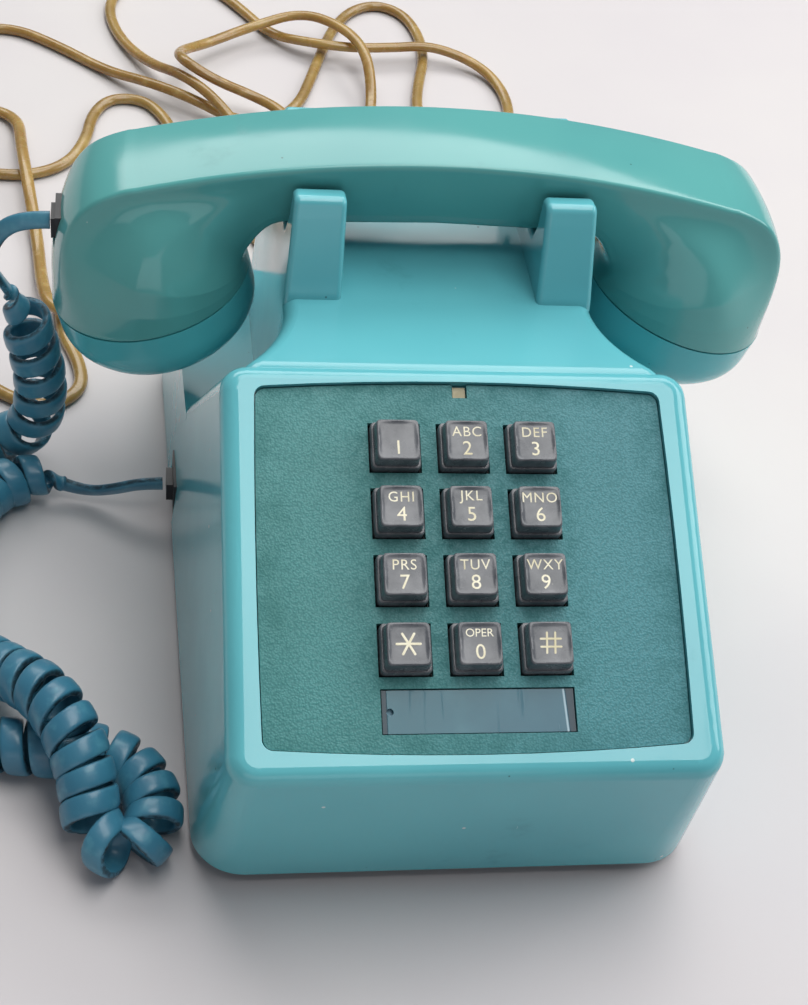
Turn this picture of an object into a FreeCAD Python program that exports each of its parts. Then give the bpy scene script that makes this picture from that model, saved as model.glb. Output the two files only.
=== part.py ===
import FreeCAD, Part
import os
import re
from math import atan2, cos, pi, radians, sin, tan

import Sketcher
from FreeCAD import Placement, Rotation, Vector

# A push-button desk telephone. Millimetres, +Z up, the front faces -Y, and the origin is on the
# table under the middle of the telephone.

doc = FreeCAD.newDocument("DeskTelephone")
sheet = doc.addObject("Spreadsheet::Sheet", "sizes")

drivingSizes = [
    # the sloping face and the keypad's centre, which the face's own frame starts from
    ("faceSlope", 25, "slope of the face, degrees"),
    ("keypadY", -56.3, "keypad centre, front to back"),
    ("keypadZ", 82.4, "keypad centre above the table"),
    ("keyPitch", 17.5, "key to key, both ways"),
    # housing
    ("wall", 3, "housing wall"),
    ("housingFoot", 4.5, "lower edge of the housing above the table"),
    ("footFront", -99.3, "front of the housing at its lower edge"),
    ("footRear", 109.5, "rear of the housing at its lower edge"),
    ("footFrontHalf", 66.8, "half width at the lower front"),
    ("footRearHalf", 72.2, "half width at the lower rear"),
    ("footCorner", 14, "corner radius at the lower edge"),
    ("faceUp", 47.8, "face above the keypad centre, along the slope"),
    ("faceDown", 58, "face below the keypad centre, along the slope"),
    ("faceHalf", 60.8, "half width of the face"),
    ("faceCorner", 7, "corner radius of the face"),
    ("bezelRise", 1.2, "bezel above the faceplate"),
    ("bezelRound", 4.5, "rounding of the bezel's outer edge"),
    ("diagonalFoot", 69.5, "where the face block's sloping back meets the lower edge"),
    ("shoulderFront", 46, "shoulder height at its front end"),
    ("shoulderRear", 40, "shoulder height at the rear"),
    ("neckHalf", 42.5, "half width of the neck at the saddle"),
    ("neckTaper", 0.06, "how much the neck widens per millimetre down"),
    ("neckRear", 103, "rear of the neck at the shoulder"),
    ("neckCorner", 14, "rear corner radius of the neck"),
    ("flareHalf", 59.5, "half width of the neck where it leaves the face"),
    ("flareEnd", 20, "where the neck's flare ends, front to back"),
    ("saddleFront", 102.2, "neck height behind the face"),
    ("saddle", 98.5, "saddle height under the handset"),
    ("saddleRear", 86, "rear end of the saddle"),
    ("neckRound", 4, "rounding of the neck's upper edges"),
    # cradle
    ("cradleY", 51, "middle of the cradle and of the handset, front to back"),
    ("earInner", 27, "inner side of a cradle ear"),
    ("earTop", 125, "top of a cradle ear"),
    ("earFoot", 31.5, "ear's foot from the cradle middle"),
    ("earRoot", 8, "ear below the saddle, inside the neck"),
    ("seat", 107.8, "seat under the handset's handle"),
    ("seatGap", 0.6, "gap between an ear and the handle, front and rear"),
    ("earRound", 1.5, "rounding of the ears' edges"),
    ("gripHalf", 24, "half width of the carrying grip at the rear"),
    ("gripFloor", 57, "floor of the carrying grip"),
    ("gripRoof", 80, "roof of the carrying grip"),
    ("gripFront", 76, "inner end of the carrying grip"),
    # faceplate
    ("plateUp", 41.8, "faceplate corner above the keypad centre"),
    ("plateDown", 50, "faceplate corner below the keypad centre"),
    ("plateHalf", 52.3, "half width of the faceplate at its corners"),
    ("plateBow", 2, "bow of the faceplate's upper and lower edges"),
    ("plateSideBow", 0.6, "bow of the faceplate's sides"),
    ("plateThick", 2, "faceplate thickness"),
    ("plateCorner", 2.5, "faceplate corner radius"),
    ("plateGap", 0.4, "gap round the faceplate"),
    ("ledge", 2.5, "ledge that the faceplate rests on"),
    ("faceShell", 6, "wall behind the face, recess and ledge together"),
    ("keyHole", 13.4, "square key hole"),
    ("cardWide", 48, "card window width"),
    ("cardHigh", 11.2, "card window height"),
    ("cardDown", 41.4, "card window below the keypad centre"),
    ("cardFloor", 1.2, "back of the card pocket"),
    ("lensThick", 1.2, "card lens thickness"),
    ("latchWide", 3.9, "latch notch width"),
    ("latchHigh", 3.6, "latch notch height"),
    # keys
    ("keySkirt", 12.5, "square key skirt"),
    ("skirtRise", 2, "skirt above the faceplate"),
    ("capFoot", 11.3, "square foot of the key cap"),
    ("capTop", 10.7, "square top of the key cap"),
    ("capRise", 6.2, "key cap above the faceplate"),
    ("dishRadius", 60, "radius of the hollow in a key cap's top"),
    ("dishDeep", 0.35, "depth of that hollow"),
    ("lipGap", 0.3, "gap between a key's lip and the keypad frame"),
    ("keyTravel", 3, "key travel"),
    ("frameGap", 0.4, "keypad frame below the faceplate"),
    ("frameHalf", 28.5, "half width of the keypad frame"),
    ("frameUp", 37, "keypad frame above the keypad centre"),
    ("frameDown", 34.3, "keypad frame below the keypad centre"),
    ("frameDeep", 8.5, "keypad frame depth"),
    ("keyWell", 13, "square well in the keypad frame"),
    ("keyLip", 14.2, "square lip that holds a key under the frame"),
    ("lipThick", 1, "thickness of that lip"),
    ("boardDrop", 15.8, "circuit board below the faceplate"),
    ("boardThick", 1.6, "circuit board thickness"),
    ("stemRadius", 2.4, "key stem radius"),
    ("springOuter", 4, "key spring outer radius"),
    ("springInner", 3.1, "key spring inner radius"),
    ("springHigh", 9.7, "key spring pressed to its shortest"),
    ("pressGap", 0.3, "what is left between a spring and a key pressed home"),
    ("railWide", 3.1, "side rails between the keypad frame and the board"),
    ("sideThick", 1.5, "keypad bracket thickness"),
    ("bracketScrewUp", 8, "upper screws of the keypad brackets above the keypad centre"),
    ("bracketScrewDown", 16, "lower screws of the keypad brackets below the keypad centre"),
    ("bracketScrewDeep", 4, "those screws below the keypad frame's top"),
    ("screwTipWall", 1, "frame left between a bracket screw's tip and a key well"),
    # base
    ("baseZ", 5, "underside of the base plate"),
    ("baseThick", 1.5, "base plate thickness"),
    ("baseGap", 1.4, "base plate inside the housing wall"),
    ("baseRim", 7, "height of the base plate's rim"),
    ("baseCornerEase", 2, "how much rounder the base plate's corners are than an even gap needs"),
    ("frontFootX", 53, "front rubber feet from the middle"),
    ("frontFootIn", 13.3, "front rubber feet behind the housing's front edge"),
    ("rearFootX", 56, "rear rubber feet from the middle"),
    ("rearFootIn", 19.5, "rear rubber feet in front of the housing's rear edge"),
    ("footRadius", 9.5, "rubber foot radius"),
    ("footStem", 3, "radius of a rubber foot's stem"),
    ("stemFit", 0.2, "radial clearance of a foot's stem"),
    ("bossHigh", 26, "height of the screw bosses above the table"),
    ("screwRadius", 1.5, "shank radius of the small screws"),
    ("screwFit", 0.15, "radial clearance of a screw in its hole"),
    ("bossRadius", 4.5, "screw boss radius"),
    ("frontBossIn", 7.8, "front screw boss behind the housing's front edge"),
    ("rearBossIn", 12.5, "rear screw boss in front of the housing's rear edge"),
    ("ribThick", 3, "thickness of the rib between a screw boss and the wall"),
    ("ribLong", 16, "length of that rib, the part in the wall included"),
    ("ribFit", 0.5, "clearance of the base plate's notches round the bosses and ribs"),
    ("blockX", 30, "network block from the middle"),
    ("blockIn", 32.5, "middle of the network block in front of the housing's rear edge"),
    ("blockWide", 44, "network block width"),
    ("blockDeep", 38, "network block depth"),
    ("terminalHigh", 2.5, "height of the network block's terminals"),
    ("terminalPitch", 10, "terminal to terminal across, and a fifth more front to back"),
    ("blockRoof", 1, "clearance over the terminals, under the lowest part of the shoulders"),
    # ringer
    ("gongX", 31, "gong centre from the middle"),
    ("gongY", 5, "gong centre, front to back"),
    ("gongRadius", 25, "gong radius"),
    ("gongRim", 26, "gong rim above the table"),
    ("gongTop", 38.5, "gong top above the table"),
    ("gongWall", 1.5, "gong wall"),
    ("coilY", 43.5, "ringer coil axis, front to back"),
    ("coilZ", 22, "ringer coil axis above the table"),
    ("coilRadius", 11.5, "ringer coil flange radius"),
    ("coilHalf", 20, "half length of the ringer coil"),
    ("coreRadius", 4, "ringer core radius"),
    ("clapperY", 24, "clapper pivot, front to back"),
    ("clapperBallY", 3, "clapper ball, front to back"),
    ("clapperHigh", 30, "clapper arm above the table"),
    ("wheelY", -27, "loudness wheel axle, front to back"),
    ("wheelZ", 11.5, "loudness wheel axle above the table"),
    ("wheelRadius", 9.5, "loudness wheel radius"),
    ("wheelThick", 4, "loudness wheel thickness"),
    ("axleRadius", 1.5, "radius of the wheel's axle and of the hook lever's pin"),
    ("pinRadius", 1.2, "clapper pin radius"),
    ("pinFit", 0.07, "radial clearance of what turns on a pin or axle"),
    ("ringerPlate", 1.5, "ringer frame's plate"),
    ("pivotHigh", 7, "boss under the clapper"),
    # hook switch
    ("plungerX", 34.2, "plunger from the middle"),
    ("plungerRadius", 4, "plunger radius"),
    ("plungerFit", 0.4, "radial clearance of a plunger"),
    ("plungerTop", 107.9, "plunger top with the handset on"),
    ("plungerFoot", 75, "plunger foot with the handset on"),
    ("plungerTip", 2.5, "radius of a plunger's foot"),
    ("plungerRise", 6, "travel of a plunger"),
    ("collarOut", 1.2, "collar that stops a plunger, beyond its radius"),
    ("collarThick", 2, "thickness of that collar"),
    ("stopGap", 0.5, "gap between the collar and the ear above it at the top of the travel"),
    ("leverY", 14, "hook lever axis, front to back"),
    ("leverZ", 70, "hook lever axis above the table"),
    ("bracketTop", 81.5, "top of the hook switch bracket"),
    ("bracketHalf", 27.5, "half width of the hook switch bracket"),
    ("bracketThick", 1.5, "hook switch bracket thickness"),
    ("hangerX", 18, "bosses that the bracket hangs from, from the middle"),
    ("hangerY", 25, "those bosses, front to back"),
    # handset
    ("handsetTop", 132, "top of the handle at its middle"),
    ("handsetArch", 14, "fall of the handle's top over archHalf"),
    ("archHalf", 92, "half length of the handle's top"),
    ("handleBottom", 109, "underside of the handle at its middle"),
    ("restGap", 0.3, "gap between the handle and its seat"),
    ("handleHalf", 14.8, "half width of the handle"),
    ("handleFoot", 11, "half width of the handle's underside"),
    ("endReach", 104.8, "half length of the handset"),
    ("wireBore", 4.5, "radius of the bore for the wires along the handle"),
    ("cupX", 77.4, "cap centre from the middle"),
    ("cupZ", 81, "cap centre at its seam"),
    ("cupTilt", 15, "tilt of the caps, degrees"),
    ("cupRadius", 28.5, "cap radius"),
    ("cupRootRadius", 15.5, "cup radius where it meets the top"),
    ("seam", 0.3, "open seam between a cap and the handset"),
    ("capHigh", 20, "cap height"),
    ("capWall", 2.5, "cap wall"),
    ("neckRing", 25.6, "outer radius of the handset's threaded ring"),
    ("neckBore", 24.3, "bore of the handset's threaded ring"),
    ("neckReach", 6, "how far the ring reaches into a cap"),
    ("capsuleRadius", 22.5, "capsule body radius"),
    ("threadFit", 0.4, "radial gap between a ring and its cap"),
    # jacks and plugs
    ("jackY", 35, "jack on the left side, front to back"),
    ("jackZ", 13, "jack on the left side above the table"),
    ("jackWide", 16, "jack width"),
    ("jackHigh", 13, "jack height"),
    ("jackDeep", 15, "jack depth"),
    ("handsetJackDeep", 12.6, "depth of the jack in the handset"),
    ("plugWide", 7.6, "cord plug width"),
    ("plugHigh", 6.4, "cord plug height"),
    ("plugLong", 13, "cord plug length"),
    ("plugFit", 0.3, "clearance round a plug"),
    ("handsetJackZ", 99, "jack in the handset's end above the table"),
    ("grommetX", -22, "line cord outlet from the middle"),
    ("grommetZ", 14, "line cord outlet above the table"),
    ("outletRadius", 5.2, "line cord outlet radius"),
    ("outletRim", 1.6, "rim of the line cord's grommet beyond the outlet"),
    # cords
    ("lineCord", 4.6, "line cord diameter"),
    ("hankX", 35, "middle of the line cord's coil, from the middle"),
    ("hankY", 160, "middle of the line cord's coil, front to back"),
    ("hankRadius", 25, "radius of the line cord's coil at the middle of its turns"),
    ("hankWide", 19, "width of the bundle of turns"),
    ("hankHigh", 16.4, "height of the bundle of turns"),
    ("coilCord", 16, "outer diameter of the coiled handset cord"),
    ("leadCord", 4.4, "straight ends of the handset cord"),
]
for row, (alias, number, note) in enumerate(drivingSizes, start=1):
    sheet.set("A%d" % row, note)
    sheet.set("B%d" % row, str(number))
    sheet.setAlias("B%d" % row, alias)
aliases = {alias for alias, number, note in drivingSizes}
doc.recompute()


class Sizes:
    """The sheet's numbers by alias, for the shapes that are worked out here."""

    def __getattr__(self, alias):
        return float(sheet.get(alias))


size = Sizes()
subParts = []


def link(expression):
    """Spells each alias in an expression the way the document needs it."""
    spell = lambda word: "sizes." + word[0] if word[0] in aliases else word[0]
    return re.sub(r"[a-z][A-Za-z]+", spell, str(expression))


def value(expression):
    return float(sheet.evalExpression(link(expression)))


def bind(thing, **links):
    for name, expression in links.items():
        thing.setExpression(name.replace("_", "."), link(expression))
    return thing


def place(thing, x, y, z):
    return bind(thing, Placement_Base_x=x, Placement_Base_y=y, Placement_Base_z=z)


def box(long, wide, high, x=0, y=0, z=0):
    """A block centred on x and y, standing on z."""
    block = bind(doc.addObject("Part::Box", "block"), Length=long, Width=wide, Height=high)
    return place(block, "(%s) - (%s) / 2" % (x, long), "(%s) - (%s) / 2" % (y, wide), z)


def rod(radius, high, x=0, y=0, z=0, axis="Z"):
    """A cylinder from x, y, z along the axis."""
    cylinder = bind(doc.addObject("Part::Cylinder", "rod"), Radius=radius, Height=high)
    turns = {"X": Rotation(Vector(0, 1, 0), 90), "Y": Rotation(Vector(1, 0, 0), -90), "Z": Rotation()}
    cylinder.Placement = Placement(Vector(), turns[axis])
    return place(cylinder, x, y, z)


def cone(low, top, high, x=0, y=0, z=0):
    shape = bind(doc.addObject("Part::Cone", "cone"), Radius1=low, Radius2=top, Height=high)
    return place(shape, x, y, z)


def ball(radius, x=0, y=0, z=0):
    return place(bind(doc.addObject("Part::Sphere", "ball"), Radius=radius), x, y, z)


def taper(low, top, high, x=0, y=0, z=0):
    """A square block that narrows from low to top."""
    wedge = doc.addObject("Part::Wedge", "taper")
    bind(wedge, Xmin="-(%s)/2" % low, Xmax="(%s)/2" % low, Zmin="-(%s)/2" % low, Zmax="(%s)/2" % low)
    bind(wedge, X2min="-(%s)/2" % top, X2max="(%s)/2" % top, Z2min="-(%s)/2" % top, Z2max="(%s)/2" % top)
    bind(wedge, Ymin=0, Ymax=high)
    wedge.Placement = Placement(Vector(), Rotation(Vector(1, 0, 0), 90))
    return place(wedge, x, y, z)


def fuse(*things):
    joined = doc.addObject("Part::MultiFuse", "joined")
    joined.Shapes = list(things)
    return joined


def cut(base, *tools):
    result = doc.addObject("Part::Cut", "cut")
    result.Base = base
    result.Tool = tools[0] if len(tools) == 1 else fuse(*tools)
    return result


def group(*things):
    together = doc.addObject("Part::Compound", "group")
    together.Links = list(things)
    return together


def solid(shape):
    """A shape worked out here, as an object of the document."""
    feature = doc.addObject("Part::Feature", "solid")
    feature.Shape = shape
    return feature


def subPart(label, thing, placement=None):
    if placement is not None:
        thing.Placement = placement
    thing.Label = label
    subParts.append(thing)
    return thing


def facePlacement():
    """The face's frame: x to the right, y up the slope, z out of the face."""
    return Placement(Vector(0, size.keypadY, size.keypadZ), Rotation(Vector(1, 0, 0), size.faceSlope))


def body(name):
    return doc.addObject("PartDesign::Body", name)


def sketchOn(owner, role, name="profile"):
    plane = next(p for p in owner.Origin.OriginFeatures if p.Role == role)
    sketch = owner.newObject("Sketcher::SketchObject", name)
    sketch.AttachmentSupport = [(plane, "")]
    sketch.MapMode = "FlatFace"
    return sketch


def pin(sketch, geometry, point, x, y):
    """Ties one end of a line or arc to a place given by two expressions."""
    for kind, axis, expression in (("DistanceX", -2, x), ("DistanceY", -1, y)):
        if str(expression) == "0":
            sketch.addConstraint(Sketcher.Constraint("PointOnObject", geometry, point, axis))
        else:
            number = value(expression)
            index = sketch.addConstraint(Sketcher.Constraint(kind, -1, 1, geometry, point, number))
            sketch.setExpression("Constraints[%d]" % index, link(expression))


def outline(sketch, corners):
    """A closed outline of straight lines through corners given by expressions."""
    first = sketch.GeometryCount
    count = len(corners)
    spots = [Vector(value(x), value(y), 0) for x, y in corners]
    for i in range(count):
        sketch.addGeometry(Part.LineSegment(spots[i], spots[(i + 1) % count]), False)
    for i in range(count):
        after = first + (i + 1) % count
        sketch.addConstraint(Sketcher.Constraint("Coincident", first + i, 2, after, 1))
    for i, (x, y) in enumerate(corners):
        pin(sketch, first + i, 1, x, y)


def rectangle(sketch, wide, high, x=0, y=0):
    left, right = "(%s) - (%s) / 2" % (x, wide), "(%s) + (%s) / 2" % (x, wide)
    low, top = "(%s) - (%s) / 2" % (y, high), "(%s) + (%s) / 2" % (y, high)
    outline(sketch, [(left, low), (right, low), (right, top), (left, top)])


def pad(owner, sketch, length, back=False):
    feature = owner.newObject("PartDesign::Pad", "pad")
    feature.Profile = sketch
    feature.Reversed = back
    return bind(feature, Length=length)


def pocket(owner, sketch, length=None, back=False):
    feature = owner.newObject("PartDesign::Pocket", "pocket")
    feature.Profile = sketch
    feature.Reversed = back
    if length is None:
        feature.Type = "ThroughAll"
        feature.Midplane = True
        return feature
    return bind(feature, Length=length)


def revolved(name, corners):
    """A body turned from an outline of radius and height about its own Z axis."""
    owner = body(name)
    sketch = sketchOn(owner, "XZ_Plane")
    outline(sketch, corners)
    feature = owner.newObject("PartDesign::Revolution", "turn")
    feature.Profile = sketch
    feature.ReferenceAxis = (sketch, ["V_Axis"])
    feature.Angle = 360
    return owner


# Straight runs joined by tangent arcs, for outlines and for the cords.


def roundedEdges(points, radii, closed):
    """Edges through the points, each corner rounded by its own radius (0 leaves it sharp)."""
    count = len(points)
    corners = []
    for i, spot in enumerate(points):
        radius = radii[i]
        if radius <= 0 or (not closed and i in (0, count - 1)):
            corners.append((spot, None, spot))
            continue
        back = (points[i - 1] - spot).normalize()
        ahead = (points[(i + 1) % count] - spot).normalize()
        half = back.getAngle(ahead) / 2
        reach = radius / tan(half)
        middle = (back + ahead).normalize()
        crown = spot + middle * (radius / sin(half) - radius)
        corners.append((spot + back * reach, crown, spot + ahead * reach))
    edges = []
    for i, (enter, crown, leave) in enumerate(corners):
        if crown is not None:
            edges.append(Part.Arc(enter, crown, leave).toShape())
        if closed or i < count - 1:
            onward = corners[(i + 1) % count][0]
            if (onward - leave).Length > 1e-6:
                edges.append(Part.LineSegment(leave, onward).toShape())
    return edges


def roundedWire(points, radii):
    return Part.Wire(roundedEdges(points, radii, True))


def sideways(profile, radii, low, high):
    """A front-to-back profile of (y, z) corners, extruded along X."""
    wire = roundedWire([Vector(low, y, z) for y, z in profile], radii)
    return Part.Face(wire).extrude(Vector(high - low, 0, 0))


def ruled(lower, upper):
    return Part.makeLoft([lower, upper], True, True)


# The housing: a face block, a low rear block with the shoulders, and a neck that carries the
# cradle. The same functions, inset by the wall, make the hollow.


def footHalf(y):
    """Half width of the lower edge at a place front to back."""
    share = (y - size.footFront) / (size.footRear - size.footFront)
    return size.footFrontHalf + share * (size.footRearHalf - size.footFrontHalf)


def faceSpot(x, up, out):
    return facePlacement().multVec(Vector(x, up, out))


def backLine():
    """Foot and top of the face block's sloping back, as (y, z)."""
    top = faceSpot(0, size.faceUp, size.bezelRise)
    return (size.diagonalFoot, size.housingFoot), (top.y, top.z)


def backLineAt(z):
    (footY, footZ), (topY, topZ) = backLine()
    return footY + (z - footZ) / (topZ - footZ) * (topY - footY)


def faceBlock(inset, drop, floor):
    low = floor
    front, rear = size.footFront + inset, size.diagonalFoot - 1.4 * inset
    corner = max(size.footCorner - inset, 1)
    lower = roundedWire(
        [Vector(-footHalf(front) + inset, front, low), Vector(footHalf(front) - inset, front, low),
         Vector(footHalf(rear) - inset, rear, low), Vector(-footHalf(rear) + inset, rear, low)],
        [corner, corner, 1, 1])
    half, out = size.faceHalf - inset, size.bezelRise - drop
    down, up = size.faceDown - 1.2 * inset, size.faceUp - 1.2 * inset
    upper = roundedWire(
        [faceSpot(-half, -down, out), faceSpot(half, -down, out),
         faceSpot(half, up, out), faceSpot(-half, up, out)],
        [size.faceCorner - 0.5 * inset] * 4)
    return ruled(lower, upper)


def sideLean():
    """How far the rear block's sides lean in per millimetre up, to meet the face block's sides."""
    (footY, footZ), (topY, topZ) = backLine()
    share = (size.shoulderFront - footZ) / (topZ - footZ)
    ruling = footHalf(footY) + share * (size.faceHalf - footHalf(footY))
    flat = footHalf(backLineAt(size.shoulderFront))
    return (flat - ruling) / (size.shoulderFront - footZ)


def rearBlock(inset, floor):
    wires = []
    for z in (floor, size.shoulderFront + 4):
        shrink = inset + sideLean() * (z - size.housingFoot)
        front, rear = -20, size.footRear - shrink
        corner = size.footCorner - 0.5 * inset
        wires.append(roundedWire(
            [Vector(-footHalf(front) + shrink, front, z), Vector(footHalf(front) - shrink, front, z),
             Vector(footHalf(rear) - shrink, rear, z), Vector(-footHalf(rear) + shrink, rear, z)],
            [1, 1, corner, corner]))
    overlap, past = 6 + 2 * inset, size.footRear + 10
    profile = [(backLineAt(floor) - overlap, floor), (past, floor), (past, size.shoulderRear - inset),
               (backLineAt(size.shoulderFront) - overlap, size.shoulderFront - inset)]
    return ruled(*wires).common(sideways(profile, [0] * 4, -100, 100))


def neckBlock(inset):
    bottom, top = size.shoulderRear - 8, size.earTop + 6
    wires = []
    for z in (bottom, top):
        grow = size.neckTaper * (size.saddle - z) - inset
        half, wide = size.neckHalf + grow, size.flareHalf + grow
        front, rear = -24 + inset, size.neckRear + grow
        bend = Vector(0, size.flareEnd, z)
        reach = size.flareEnd - backLine()[1][0]
        radius = (reach ** 2 + (wide - half) ** 2) / (2 * (wide - half))
        edges = []
        corners = {}
        for side in (1, -1):
            start = Vector(side * wide, bend.y - reach, z)
            end = Vector(side * half, bend.y, z)
            turn = atan2(reach, radius - (wide - half)) / 2
            crown = Vector(side * (half + radius - radius * cos(turn)), bend.y - radius * sin(turn), z)
            corners[side] = (start, crown, end)
        right, left = corners[1], corners[-1]
        edges.append(Part.LineSegment(Vector(-wide, front, z), Vector(wide, front, z)).toShape())
        edges.append(Part.LineSegment(Vector(wide, front, z), right[0]).toShape())
        edges.append(Part.Arc(*right).toShape())
        path = [right[2], Vector(half, rear, z), Vector(-half, rear, z), left[2]]
        edges += roundedEdges(path, [0, size.neckCorner, size.neckCorner, 0], False)
        edges.append(Part.Arc(left[2], left[1], left[0]).toShape())
        edges.append(Part.LineSegment(left[0], Vector(-wide, front, z)).toShape())
        wires.append(Part.Wire(edges))
    return ruled(*wires)


def neckProfile(inset):
    """The neck seen from the side: up behind the face, along the saddle, down to the rear."""
    low = size.shoulderRear - 8
    return [(-24, low), (-24, size.saddleFront - 5.2 - inset), (-11.5, size.saddleFront - inset),
            (size.flareEnd, size.saddle - inset), (size.saddleRear - inset, size.saddle - inset),
            (size.neckRear + 2 - inset, size.shoulderRear + 2), (size.neckRear + 2 - inset, low)]


def edgesNear(shape, test):
    return [edge for edge in shape.Edges if all(test(vertex.Point) for vertex in edge.Vertexes)]


def earProfile():
    """A cradle ear from the side: a front and a rear prong with the seat between them."""
    middle, foot, root = size.cradleY, size.earFoot, size.saddle - size.earRoot
    notch = size.handleHalf + size.seatGap
    lowNotch = size.handleFoot + size.seatGap + 1
    half = [(foot, root), (foot, size.saddle), (foot - 7.5, size.earTop - 5), (foot - 9.5, size.earTop),
            (notch, size.earTop - 1.2), (notch, size.seat + 7), (lowNotch, size.seat)]
    rounds = [0, 12, 12, 2.5, 2, 6, 2]
    front = [(middle - reach, z) for reach, z in half]
    rear = [(middle + reach, z) for reach, z in reversed(half)]
    return front + rear, rounds + rounds[::-1]


def roundedFaceBlock():
    block = faceBlock(0, 0, size.housingFoot)
    top = facePlacement().inverse()
    onFace = lambda spot: abs(top.multVec(spot).z - size.bezelRise) < 0.01
    return block.makeFillet(size.bezelRound, edgesNear(block, onFace))


def roundedNeck():
    neck = neckBlock(0).common(sideways(neckProfile(0), [0, 0, 6, 40, 10, 0, 0], -100, 100))
    upper = [edge for edge in neck.Edges
             if edge.BoundBox.ZMin > size.shoulderRear + 1 and edge.BoundBox.XLength < 30
             and abs(edge.CenterOfMass.x) > 30 and edge.CenterOfMass.y > -15
             and edge.CenterOfMass.z > size.saddle - 20]
    return neck, upper


def ears():
    profile, rounds = earProfile()
    ear = sideways(profile, rounds, size.earInner, size.neckHalf + 6)
    ear = ear.common(neckBlock(0))
    sharp = [edge for edge in ear.Edges if edge.CenterOfMass.z > size.saddle + 1
             and edge.BoundBox.XLength < 4]
    ear = ear.makeFillet(size.earRound, sharp)
    hole = Part.makeCylinder(size.plungerRadius + size.plungerFit, 60,
                             Vector(size.plungerX, size.cradleY, size.saddle - 30))
    ear = ear.cut(hole)
    return ear, ear.mirror(Vector(), Vector(1, 0, 0)), hole


def bowedPrism(grow, low, high):
    """The faceplate's outline, grown, as a prism in the face's frame from low to high."""
    half, up, down = size.plateHalf + grow, size.plateUp + grow, -size.plateDown - grow
    bow, side = size.plateBow, size.plateSideBow
    middle = (up + down) / 2
    arcs = [Part.Arc(Vector(-half, down, low), Vector(0, down - bow, low), Vector(half, down, low)),
            Part.Arc(Vector(half, down, low), Vector(half + side, middle, low), Vector(half, up, low)),
            Part.Arc(Vector(half, up, low), Vector(0, up + bow, low), Vector(-half, up, low)),
            Part.Arc(Vector(-half, up, low), Vector(-half - side, middle, low), Vector(-half, down, low))]
    prism = Part.Face(Part.Wire([arc.toShape() for arc in arcs])).extrude(Vector(0, 0, high - low))
    uprights = [edge for edge in prism.Edges if edge.BoundBox.ZLength > high - low - 0.01]
    prism = prism.makeFillet(max(size.plateCorner + grow, 0.5), uprights)
    prism.Placement = facePlacement()
    return prism


def screwHole(x, y, low, high):
    return Part.makeCylinder(size.screwRadius + size.screwFit, high - low, Vector(x, y, low))


def middleBlock(long, wide, high, x, y, z):
    """A plain block centred on x and y, standing on z."""
    return Part.makeBox(long, wide, high, Vector(x - long / 2, y - wide / 2, z))


def gripBlock(grow):
    rear = size.footRear + 10
    wide = 2 * (size.gripHalf + grow)
    return middleBlock(wide, rear - size.gripFront + grow, size.gripRoof - size.gripFloor + 2 * grow,
                       0, (rear + size.gripFront - grow) / 2, size.gripFloor - grow)


frontBoss = "(footFront + frontBossIn)"
rearBoss = "(footRear - rearBossIn)"


def housingShape():
    neck, upper = roundedNeck()
    neck = neck.makeFillet(size.neckRound, upper)
    outer = roundedFaceBlock().fuse([rearBlock(0, size.housingFoot), neck])
    below = size.housingFoot - 3
    hollowNeck = neckBlock(size.wall).common(sideways(neckProfile(size.wall), [0] * 7, -100, 100))
    hollow = faceBlock(size.wall, size.faceShell, below).fuse([rearBlock(size.wall, below), hollowNeck])
    shell = outer.cut(hollow)
    rightEar, leftEar, hole = ears()
    low = size.baseZ + size.baseThick
    ribs = []
    for y, side in ((value(frontBoss), -1), (value(rearBoss), 1)):
        ribs.append(Part.makeCylinder(size.bossRadius, size.bossHigh - low, Vector(0, y, low)))
        middle = y + side * (size.bossRadius - 1 + size.ribLong / 2)
        ribs.append(middleBlock(size.ribThick, size.ribLong, size.bossHigh - low, 0, middle, low))
    hangerHigh = size.saddle - size.bracketTop - 1
    hangers = [Part.makeCylinder(3.5, hangerHigh, Vector(x, size.hangerY, size.bracketTop))
               for x in (-size.hangerX, size.hangerX)]
    inside = outer.common(gripBlock(size.wall).fuse(ribs + hangers))
    shell = shell.fuse([inside, rightEar, leftEar])
    recess = bowedPrism(size.plateGap, -size.plateThick, 12)
    opening = bowedPrism(-size.ledge, -size.faceShell - 3, 0)
    wallX = footHalf(size.jackY)
    jackHole = middleBlock(24, size.jackWide + 0.6, size.jackZ + size.jackHigh / 2 + 0.3,
                           -wallX, size.jackY, 0)
    outletStart = Vector(size.grommetX, size.footRear + 5, size.grommetZ)
    outlet = Part.makeCylinder(size.outletRadius, 20, outletStart, Vector(0, -1, 0))
    holes = [gripBlock(0), recess, opening, jackHole, outlet, hole, hole.mirror(Vector(), Vector(1, 0, 0))]
    holes += [screwHole(0, value(y), 0, size.bossHigh) for y in (frontBoss, rearBoss)]
    holes += [screwHole(x, size.hangerY, size.bracketTop - 1, size.bracketTop + 10)
              for x in (-size.hangerX, size.hangerX)]
    return shell.cut(holes).removeSplitter()


subPart("housing", solid(housingShape()))


# The faceplate is drawn in the face's frame: its top is at zero and the keypad centre is the origin.


def arcSide(sketch, start, end, bow):
    """An arc from start to end that bulges to the right of the way it goes."""
    a = Vector(value(start[0]), value(start[1]), 0)
    b = Vector(value(end[0]), value(end[1]), 0)
    chord = b - a
    out = Vector(chord.y, -chord.x, 0).normalize()
    crown = (a + b) * 0.5 + out * value(bow)
    index = sketch.addGeometry(Part.ArcOfCircle(a, crown, b), False)
    radius = "(((%s)-(%s))^2/4 + ((%s)-(%s))^2/4 + (%s)^2) / (2*(%s))" % (
        start[0], end[0], start[1], end[1], bow, bow)
    tie = sketch.addConstraint(Sketcher.Constraint("Radius", index, value(radius)))
    sketch.setExpression("Constraints[%d]" % tie, link(radius))
    return index


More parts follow.
